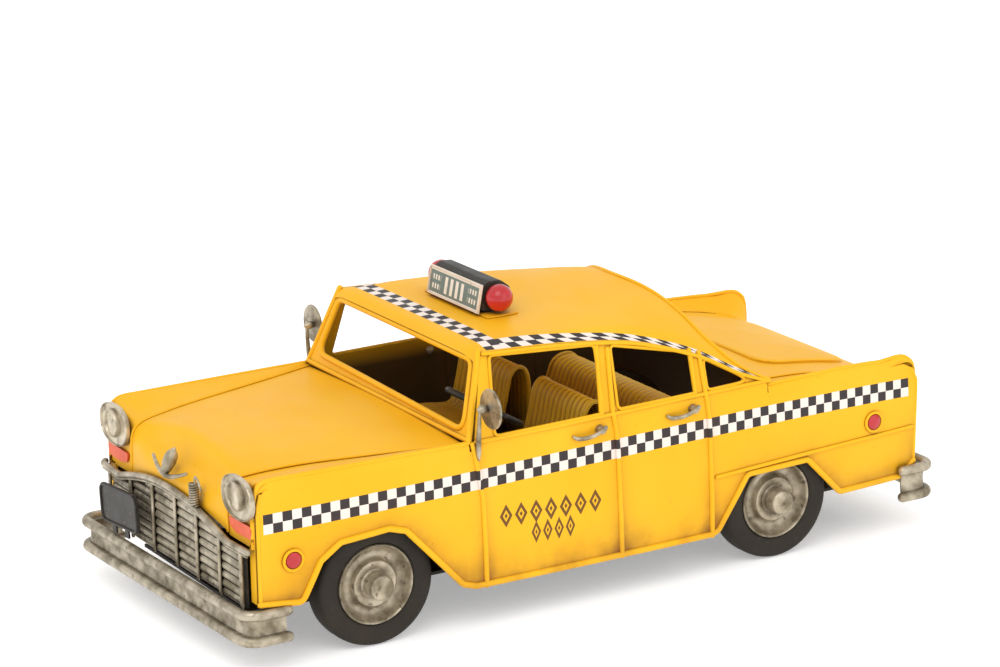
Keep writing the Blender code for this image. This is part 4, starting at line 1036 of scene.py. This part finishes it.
def headlamp(word, side):
    """A flat oval dish in a thin rolled rim, with the round lamp in a thin ring of its own."""
    centre = (side * HEADLAMP[0], HEADLAMP[1])
    back = FRONT_Y - 0.5
    rings = ((0.95, 0.0), (0.99, 0.4), (1.0, 1.2), (0.995, 1.9), (0.975, 2.2), (0.955, 2.0), (0.948, 1.6),
             (0.94, 1.5), (0.6, 1.4), (0.3, 1.4))
    dish = stacked([(oval(centre, 11.9 * s, 8.1 * s, 2.3, 56), back - out) for s, out in rings])
    emit(f"headlamp_dish_{word}", dish, PEWTER_PALE, replaces=[f"headlamp_bezel_{word}"])
    profile = ((0.0, 1.7), (4.7, 1.6), (4.8, 1.75), (4.9, 2.15), (5.1, 2.35), (5.3, 2.15), (5.45, 1.75),
               (5.5, 0.0), (0.0, 0.0))
    lamp = facing(turned(profile, 48), -90.0)
    emit(f"headlamp_ring_{word}", lamp, PEWTER_PALE, replaces=[f"headlamp_lens_{word}"],
         origin=(side * HEADLAMP[0], back - 1.0, HEADLAMP[1] + 0.6))


def turn_lens(word, side):
    """The flat amber lens under a headlamp, cut to the fender's edge."""
    corners = ((42.8, 53.2), (44.0, 49.6), (49.0, 48.4), (60.4, 48.8), (60.8, 53.6))
    outline = rounded([(side * x, z) for x, z in corners], 1.6, step=4.0)
    lens = softened(prism(outline, "Y", FRONT_Y - 1.2, FRONT_Y - 0.3), 0.35)
    emit(f"amber_lens_{word}", lens, AMBER, replaces=[f"turn_lens_{word}"])


def reflector(word, side, end):
    """A red dome in a rim of body paint."""
    y, z = REFLECTORS[end]
    spot = (side * (side_x(y, z) + 0.1), y, z)
    dome = ((0.0, 1.3), (1.2, 1.25), (2.2, 1.05), (2.9, 0.75), (3.1, 0.3), (3.1, -0.2), (0.0, -0.2))
    emit(f"{end}_reflector_dome_{word}", facing(turned(dome, 28), 90.0 - 90.0 * side), RED,
         replaces=[f"{end}_reflector_{word}"], origin=spot)
    rim = turned(circle(0.6, 8, (3.75, 0.45)), 28, True)
    emit(f"{end}_reflector_rim_{word}", facing(rim, 90.0 - 90.0 * side), PAINT, origin=spot)


def ornament():
    """A chevron of two thin rods in front of an egg-shaped body that leans back."""
    y, z = -150.0, 57.2
    shapes = []
    for side in (1, -1):
        arm = [(side * x, y + back, z + up) for x, back, up in
               ((0.0, 0.0, 0.0), (5.0, 0.3, 0.7), (10.0, 1.1, 2.3), (14.0, 2.0, 3.9))]
        shapes.append(tube(eased(arm, 18), spread(1.0, 0.6, 17), 12))
    body = [(0.0, y + back, z + up) for back, up in
            ((0.1, 0.6), (0.9, 3.0), (2.2, 5.6), (3.4, 8.0), (4.0, 9.2))]
    widths = [table(((0, 1.0), (3, 1.9), (8, 2.6), (12, 2.5), (16, 1.7), (19, 0.8)), k) for k in range(20)]
    shapes.append(tube(eased(body, 20), widths, 18))
    emit("nose_ornament", merged(shapes), PEWTER, replaces=["bonnet_ornament"])


def spring():
    """A small wire spring over the grille, whose top end is bent into a hook."""
    x, y, z = 22.6, -149.3, 51.9
    turns, height, coil = 9, 8.4, 1.55
    angles = spread(0.0, 2.0 * math.pi * turns, 14 * turns)
    levels = spread(z, z + height, 14 * turns)
    path = [(x + coil * math.cos(a), y + coil * math.sin(a), level) for a, level in zip(angles, levels)]
    bend = ((0.0, -0.2, 1.6), (1.6, -0.6, 3.2), (4.6, -1.0, 2.4), (7.0, -1.2, -0.2))
    hook = [(x + coil + across, y + back, z + height + up) for across, back, up in bend]
    path += eased([path[-1], *hook], 18)[1:]
    emit("wire_spring", tube(path, 0.42, 8), PEWTER, replaces=["nose_spring"])


def plate():
    """A blank black plate in a raised rim, on two tabs."""
    wide, high = 16.6, 7.6
    shape = rounded([(-wide, -high), (wide, -high), (wide, high), (-wide, high)], 3.6)
    shapes = [softened(prism(shape, "Y", -0.8, 0.0), 0.25)]
    shapes.append(tube([(x * 0.96, -0.9, z * 0.92) for x, z in shape], 0.55, 8, True))
    for x in (-5.6, 5.6):
        shapes.append(softened(box((x - 1.6, -0.9, -high - 3.0), (x + 1.6, -0.2, -high + 1.0)), 0.2))
    whole = merged(shapes)
    changed(whole, Matrix.Rotation(math.radians(-5.0), 4, "Y"))
    emit("blank_plate", whole, BLACK, replaces=["number_plate"], origin=PLATE)


# ---------------------------------------------------------------- cabin shell

def windscreen():
    """The raked panel round the windscreen: its opening's rolled edge, and beads at the pillars and cowl."""
    shape = [(-62.6, COWL_Z), (62.6, COWL_Z), (53.4, 100.3), (30.0, 101.0), (0.0, 101.2), (-30.0, 101.0),
             (-53.4, 100.3)]
    hole = rounded([(-56.4, 75.2), (58.4, 73.2), (52.0, 97.2), (-51.0, 97.2)], 4.6)
    panel = carved(prism(shape, "Y", -1.0, 0.0), prism(hole, "Y", -9.0, 9.0), "DIFFERENCE")
    for vert in panel.verts:
        vert.co.y += COWL_Y - 0.2 + RAKE * (vert.co.z - COWL_Z)
    shapes = [panel, tube([screen_point(x, z, -0.1) for x, z in hole], 1.15, 12, True)]
    shapes.append(tube([screen_point(x, COWL_Z + 0.9, 0.1) for x in spread(-62.4, 62.4, 30)], 1.0, 10))
    pillar = eased([(62.8, COWL_Z + 0.6), (60.0, 79.0), (56.4, 91.0), (53.4, 100.6)], 20)
    for side in (1, -1):
        shapes.append(tube([screen_point(side * p.x, p.y, -0.5) for p in pillar], 1.25, 12))
    emit("windscreen_surround", merged(shapes), PAINT, replaces=["windscreen_frame"], sharp=50.0)


def roof():
    """The domed roof, rolled down at the front over the windscreen panel."""
    shares = [math.sin(math.pi / 2.0 * k / 28.0) for k in range(-28, 29)]
    rows = []
    for y, sink in ((-50.4, 3.4), (-49.6, 1.6), (-48.4, 0.5)):
        rows.append([(x, y, z) for x, _, z in (roof_skin_point(ROOF_FRONT_Y, s, sink) for s in shares)])
    for part in spread(0.0, 1.0, 32):
        stops = [ROOF_FRONT_Y + part * (rear_arch_y(s) - ROOF_FRONT_Y) for s in shares]
        rows.append([roof_skin_point(y, s) for y, s in zip(stops, shares)])
    left, right = (travelled([row[end] for row in rows]) for end in (0, -1))
    marks = []
    for row, a, b in zip(rows, left, right):
        inward = travelled(row)
        last = len(row) - 1
        marks.append([(a + (b - a) * (j / last), min(d, inward[-1] - d), 0.0) for j, d in enumerate(inward)])
    emit("roof_skin", sheet(rows, SHEET, marks), ROOF_PAINT, replaces=["roof_panel"], sharp=60.0)
    arch = [roof_skin_point(rear_arch_y(s), s) for s in shares]
    emit("rear_window_bead", tube(arch, TRIM_BEAD, 12), PAINT)


def tail():
    """The boot deck between the two fins, rolled down at the back into the tail panel."""
    def across(y, deck, fin):
        wide = half_width(y) - 0.3
        rise = fin - deck
        return mirrored([(x, y, z) for x, z in (
            (side_x(y, LAP_Z) + 0.06, LAP_Z), (wide - 0.4, fin - 1.1), (wide - 1.6, fin),
            (wide - 3.4, fin - 0.3 * rise), (wide - 6.4, deck + 0.12 * rise), (wide - 11.0, deck),
            (34.0, deck + 0.2), (16.0, deck + 0.5))])

    rows = [across(y, deck, fin) for (y, deck), (_, fin) in zip(DECK_LINE, FIN_LINE)]
    wide = half_width(140.0) - 0.3
    steps = (((138.0, 70.1), (137.2, 59.8)), ((142.6, 68.2), (140.8, 55.8)), ((145.0, 64.2), (142.6, 50.2)),
             ((145.6, 52.0), (143.2, 44.0)), ((145.4, 38.0), (143.2, 35.0)), ((144.8, 27.2), (142.8, 27.0)))
    for (fin_y, fin_z), (deck_y, deck_z) in steps:
        side_low = min(SIDE_TOP_Z + 0.1, fin_z - 0.9)
        back = fin_y - deck_y
        rise = fin_z - deck_z
        rows.append(mirrored([
            (wide - 0.8, fin_y - 0.5, side_low), (wide - 1.2, fin_y, fin_z - 0.5), (wide - 2.2, fin_y, fin_z),
            (wide - 3.6, fin_y - 0.2 * back, fin_z - 0.3 * rise),
            (wide - 6.4, deck_y + 0.2 * back, deck_z + 0.12 * rise), (wide - 11.0, deck_y, deck_z),
            (34.0, deck_y + 0.2, deck_z + 0.1), (16.0, deck_y + 0.3, deck_z + 0.2)]))
    shapes = [sheet(eased_grid([row[::-1] for row in rows], 56, 61), SHEET)]
    fin = [(half_width(y) - 1.9, y, table(FIN_LINE, y) + 0.1) for y in range(74, 132, 6)]
    fin += [(wide - 2.2, y, z) for y, z in
            ((138.0, 70.0), (142.4, 68.2), (144.9, 64.2), (145.5, 52.0), (144.9, 28.0))]
    crease = [(half_width(y) - 9.6, y, table(DECK_LINE, y) + 0.35) for y in range(78, 132, 6)]
    for side in (1, -1):
        for line, count, radius, sides in ((fin, 44, 0.75, 10), (crease, 30, 0.5, 8)):
            shapes.append(tube(eased([(side * x, y, z) for x, y, z in line], count), radius, sides))
    emit("tail_deck", merged(shapes), PAINT, replaces=["rear_deck"], sharp=60.0)


def boot_lid():
    """A raised lid on the deck, with rounded corners and a rolled edge."""
    outline = rounded([(-38.5, 88.6), (38.5, 88.6), (36.5, 131.0), (-36.5, 131.0)], 11.0, step=3.0)
    middle = Vector((0.0, 110.0))
    rings = []
    for share, lift in ((1.0, -0.6), (1.0, 0.6), (0.985, 0.95), (0.965, 1.1), (0.93, 1.15), (0.7, 1.35),
                        (0.4, 1.5), (0.12, 1.55)):
        ring = [middle.lerp(spot, share) for spot in outline]
        rings.append([(p.x, p.y, table(DECK_LINE, p.y) + 0.5 + lift) for p in ring])
    emit("boot_lid_skin", lofted(rings), PAINT, replaces=["boot_lid"], sharp=50.0)


def tail_lamp(word, side):
    """A red dome in a plated ring on the tail panel."""
    spot = (side * TAIL_LAMP[0], *TAIL_LAMP[1:])
    dome = ((0.0, 2.6), (1.6, 2.5), (2.9, 2.1), (3.5, 1.5), (3.7, 0.4), (3.7, 0.0), (0.0, 0.0))
    emit(f"tail_lamp_dome_{word}", facing(turned(dome, 32), 90.0), RED,
         replaces=[f"tail_lamp_{word}"], origin=spot)
    rim = turned(circle(0.6, 10, (4.2, 0.7)), 32, True)
    emit(f"tail_lamp_rim_{word}", facing(rim, 90.0), PEWTER, origin=spot)


# ---------------------------------------------------------------- trim

def handle(word, side, end):
    """A lever handle: a boss at its rear end and a curved bar that runs forward from it."""
    y, z = HANDLES[end]

    def beside(points):
        return [(side * (side_x(y, z) + out), y + back, z + up) for out, back, up in points]

    bar = beside(((1.0, -8.6, -0.2), (2.0, -6.8, -1.0), (2.5, -2.0, -0.9), (2.5, 2.4, 0.4), (2.0, 4.4, 1.2)))
    boss = beside(((-0.4, 3.2, 0.5), (1.4, 3.2, 0.5), (2.4, 3.2, 0.5)))
    widths = [table(((0, 0.6), (4, 0.95), (12, 0.95), (17, 1.25)), k) for k in range(18)]
    shapes = [tube(eased(bar, 18), widths, 12, flat=0.8), tube(boss, (1.9, 1.6, 1.2), 14)]
    emit(f"{end}_lever_{word}", merged(shapes), PEWTER, replaces=[f"{end}_handle_{word}"])


def mirror(word, side):
    """A shallow round dish with a ball hub in front, on a tapered stalk."""
    x, y, z = MIRROR
    profile = ((0.0, 0.1), (3.0, 0.2), (5.4, 0.4), (6.7, 0.3), (7.2, 0.35), (7.5, 0.7), (7.5, 1.1),
               (7.1, 1.3), (0.0, 1.0))
    dish = changed(facing(turned(profile, 48), 90.0), Matrix.Translation((side * x, y, z)))
    stalk = eased([(side * (x - inward), y - ahead, z + up) for inward, ahead, up in (
        (1.6, 2.7, 1.2), (1.9, 2.9, -3.0), (2.6, 2.9, -9.0), (3.5, 2.7, -15.0), (3.4, 2.6, -19.4))], 22)
    widths = [table(((0, 0.7), (3, 0.6), (14, 1.05), (18, 1.0), (21, 0.4)), k) for k in range(22)]
    hub = [(side * (x - 1.6), y - 3.3 + 0.7 * k, z) for k in range(6)]
    shapes = [dish, tube(stalk, widths, 12), tube(hub, (0.8, 1.4, 1.7, 1.6, 1.3, 1.0), 16)]
    emit(f"wing_mirror_{word}", merged(shapes), PEWTER, replaces=[f"mirror_{word}"])


def sign_case():
    """The sign's folded black case."""
    corners = ((-6.6, 104.3), (6.4, 104.6), (6.6, 112.2), (2.6, 115.2), (-2.2, 115.5), (-4.8, 114.2))
    section = rounded([(SIGN_Y + y, z) for y, z in corners], 2.0, step=3.0)
    case = softened(prism(section, "X", -SIGN_HALF, SIGN_HALF), 0.4, angle=60.0)
    emit("sign_case", case, BLACK, replaces=["sign_box"], sharp=50.0)


def sign_front():
    """The sign's printed panel, which leans back with the case, and the thin frame round it."""
    low = Vector((SIGN_Y - 7.3, 103.6))
    high = Vector((SIGN_Y - 5.2, 114.4))
    out = Vector((-(high - low).y, (high - low).x)).normalized()
    face = [low, low + out * 0.7, high + out * 0.7, high]
    panel = softened(prism(face, "X", -SIGN_HALF - 0.6, SIGN_HALF + 0.6), 0.12)
    emit("sign_front", panel, SIGN, replaces=["sign_face"])
    reach = SIGN_HALF + 0.2
    spots = [(x, low.lerp(high, share) + out * 0.85) for x, share in
             ((reach, 0.035), (reach, 0.965), (-reach, 0.965), (-reach, 0.035))]
    corners = [Vector((x, spot.x, spot.y)) for x, spot in spots]
    path = [corners[i].lerp(corners[(i + 1) % 4], k / 8.0) for i in range(4) for k in range(8)]
    emit("sign_frame", tube(path, 0.38, 8, True), SIGN_RIM)


def sign_dome(word, side):
    """The red ball at one end of the sign."""
    dome = ((0.0, 8.2), (1.8, 8.0), (3.4, 7.1), (4.6, 5.7), (5.2, 4.0), (5.15, 2.4), (4.7, 1.0), (3.7, 0.0),
            (0.0, 0.0))
    emit(f"sign_dome_{word}", facing(turned(dome, 40), 90.0 - 90.0 * side), RED,
         replaces=[f"sign_lamp_{word}"], origin=(side * (SIGN_HALF + 0.1), SIGN_Y, SIGN_LAMP_Z))


def sign_foot():
    """The plate under the sign, which follows the roof."""
    rows = []
    for y in spread(SIGN_Y - 6.4, SIGN_Y + 6.8, 6):
        edge = side_x(y, gutter_z(y))
        rows.append([(x, y, roof_point(y, x / edge)[2] + 0.75) for x in spread(-24.0, 24.0, 32)])
    emit("sign_foot", sheet(rows, 0.6), PAINT, replaces=["sign_base"])


# ---------------------------------------------------------------- cabin

def seat(name, node, profile, low_x, high_x):
    """A seat bent from one sheet, with pressed ribs and rolled side edges."""
    line = eased(profile, 48)
    rows = []
    for i, spot in enumerate(line):
        along = (line[min(i + 1, len(line) - 1)] - line[max(i - 1, 0)]).normalized()
        row = []
        for x in spread(low_x, high_x, 120):
            rib = RIB_HEIGHT * math.sin(2.0 * math.pi * x / RIB_PITCH)
            row.append((x, spot.x - rib * along.y, spot.y + rib * along.x))
        rows.append(row)
    edges = [tube([(x, p.x, p.y) for p in line], 0.75, 8) for x in (low_x + 0.4, high_x - 0.4)]
    emit(name, merged([sheet(rows, 1.0), *edges]), SEAT, replaces=[node], sharp=60.0)


def steering():
    """A thin wheel with a hub and three spokes, on a column that runs down to the cabin floor."""
    axis = Vector((0.0, 0.513, 0.859)).normalized()
    turn = Vector((1.0, 0.0, 0.0)).rotation_difference(axis).to_matrix().to_4x4()
    hub = ((0.0, 1.6), (2.0, 1.3), (3.0, 0.6), (3.2, -0.6), (3.0, -2.0), (0.0, -2.0))
    shapes = [turned(circle(1.25, 12, (15.2, 0.0)), 56, True), turned(hub, 28)]
    for a in (0.0, math.radians(140.0), math.radians(220.0)):
        spoke = [(-0.6 + 0.06 * r, r * math.cos(a), r * math.sin(a)) for r in (2.0, 5.0, 8.0, 11.0, 15.0)]
        shapes.append(tube(spoke, (1.1, 0.8, 0.8, 0.8, 1.0), 8))
    emit("steering_rim", changed(merged(shapes), turn), BLACK, replaces=["steering_wheel"],
         origin=STEERING)
    foot = (FLOOR_Z - STEERING[2]) / axis.z
    column = turned(((0.0, -2.0), (2.2, -2.4), (2.0, -6.0), (1.5, -7.0), (1.5, foot), (0.0, foot)), 24)
    emit("steering_shaft", changed(column, turn), BLACK, replaces=["steering_column"],
         origin=STEERING)


# ---------------------------------------------------------------- wheels

def wheel(axle, axle_y, word, side):
    """A rubber tyre round a dished hub with a cap in its middle."""
    turn = 90.0 - 90.0 * side
    spot = (0.0, axle_y, AXLE_Z)
    body = f"{axle}_wheels"
    tread = TYRE_RADIUS - 0.02
    tyre = ((15.3, 59.9), (16.0, 60.5), (17.4, 60.75), (20.4, 61.0), (21.9, 60.8), (22.9, 60.1),
            (23.25, 59.0), (tread, 57.4), (tread, 55.4), (tread, 53.0), (23.2, 51.4), (22.6, 50.2),
            (21.0, 49.5), (18.0, 49.3), (15.6, 49.8), (15.3, 50.6))
    emit(f"{axle}_rubber_{word}", facing(turned(tyre, 96, True), turn), RUBBER, body,
         [f"{axle}_tyre_{word}"], spot, 50.0)
    dish = ((0.0, 65.5), (3.9, 65.6), (4.5, 65.4), (4.72, 64.9), (4.75, 60.2), (5.0, 59.5), (5.6, 59.1),
            (6.6, 59.4), (7.8, 59.7), (8.5, 59.5), (8.8, 58.7), (9.0, 57.6), (9.8, 56.8), (11.0, 56.5),
            (12.2, 56.9), (13.3, 58.0), (14.1, 59.6), (14.4, 60.5), (14.9, 60.8), (15.25, 60.4),
            (15.25, 52.0), (15.2, 50.2), (13.8, 50.0), (13.0, 54.4), (4.6, 54.4), (4.6, 50.2), (1.7, 50.0))
    emit(f"{axle}_dish_{word}", facing(turned(dish, 64), turn), PEWTER_WASH_AND_SHADE, body,
         [f"{axle}_hub_{word}"], spot, 50.0)


# ---------------------------------------------------------------- assembly

def finish_cad_nodes():
    """Gives the CAD nodes that stay visible their materials."""
    for look, nodes in ((DARK_PAINT_AND_SHADE, ("cabin_floor", "chassis_base")),
                        (STEEL, ("front_axle", "rear_axle", "drive_gear", "idler_gear", "flywheel",
                                 "motor_frame"))):
        for node in nodes:
            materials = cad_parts[node].data.materials
            for index in range(len(materials)):
                materials[index] = look


def build():
    for word, side in SIDES:
        for piece in (side_panel, side_beads, fender_top, headlamp, turn_lens, tail_lamp, mirror, sign_dome):
            piece(word, side)
        for end, axle_y in (("front", FRONT_AXLE_Y), ("rear", REAR_AXLE_Y)):
            reflector(word, side, end)
            handle(word, side, end)
            wheel(end, axle_y, word, side)
    bumper("bumper_front", "front_bumper", -152.0, -134.0, -3.0, 69.0, 11.6, 21.4, 4.2)
    bumper("bumper_rear", "rear_bumper", 153.4, 137.0, 0.0, 65.6, 13.5, 24.4)
    seat("seat_left", "front_seat_left", FRONT_SEAT, 8.6, 47.0)
    seat("seat_right", "front_seat_right", FRONT_SEAT, -47.0, -8.6)
    seat("seat_rear", "rear_seat", REAR_SEAT, -42.5, 42.5)
    for piece in (bonnet, grille, grille_band, ornament, spring, plate, windscreen, roof, tail, boot_lid,
                  sign_case, sign_front, sign_foot, steering):
        piece()
    finish_cad_nodes()


# ---------------------------------------------------------------- studio

def soft_light():
    scene = bpy.context.scene
    scene.view_settings.view_transform = "Standard"
    world = bpy.data.worlds.new("studio")
    world.use_nodes = True
    background = world.node_tree.nodes["Background"]
    background.inputs["Color"].default_value = (1.0, 1.0, 1.0, 1.0)
    background.inputs["Strength"].default_value = 0.95
    scene.world = world
    for name, spot, size, power in LAMPS:
        lamp = bpy.data.lights.new(name, "AREA")
        lamp.size = size
        lamp.energy = power
        holder = bpy.data.objects.new(name, lamp)
        holder.location = spot
        aim = Vector((0.0, 0.0, 0.05)) - Vector(spot)
        holder.rotation_euler = aim.to_track_quat("-Z", "Y").to_euler()
        scene.collection.objects.link(holder)


def pale_floor():
    ground = bmesh.new()
    bmesh.ops.create_grid(ground, x_segments=8, y_segments=8, size=3.0)
    mesh = bpy.data.meshes.new("studio_floor")
    ground.to_mesh(mesh)
    ground.free()
    g = Graph("studio_floor_white")
    pale = g.mix(g.noise(0.4), (0.93, 0.93, 0.93), (0.95, 0.95, 0.95))
    g.feed(g.shader.inputs["Emission Color"], pale)
    g.shader.inputs["Emission Strength"].default_value = 0.35
    mesh.materials.append(g.finish(pale, 0.9, specular=0.1))
    floor = bpy.data.objects.new("studio_floor", mesh)
    bpy.context.scene.collection.objects.link(floor)


def camera():
    """The camera at the photograph's viewing angle, turned a little about its own axis."""
    azimuth, height, roll = (math.radians(a) for a in CAMERA_ANGLES)
    level = math.cos(height)
    back = Vector((math.sin(azimuth) * level, -math.cos(azimuth) * level, math.sin(height)))
    right = Vector((math.cos(azimuth), math.sin(azimuth), 0.0))
    up = back.cross(right)
    across = right * math.cos(roll) + up * math.sin(roll)
    upward = up * math.cos(roll) - right * math.sin(roll)
    lens = bpy.data.cameras.new("camera")
    lens.sensor_width = 36.0
    lens.lens = CAMERA_LENS
    lens.clip_start = 0.05
    lens.clip_end = 20.0
    holder = bpy.data.objects.new("camera", lens)
    matrix = Matrix((across, upward, back)).transposed().to_4x4()
    matrix.translation = Vector(CAMERA_PLACE)
    holder.matrix_world = matrix
    bpy.context.scene.collection.objects.link(holder)
    bpy.context.scene.camera = holder


build()
soft_light()
pale_floor()
camera()
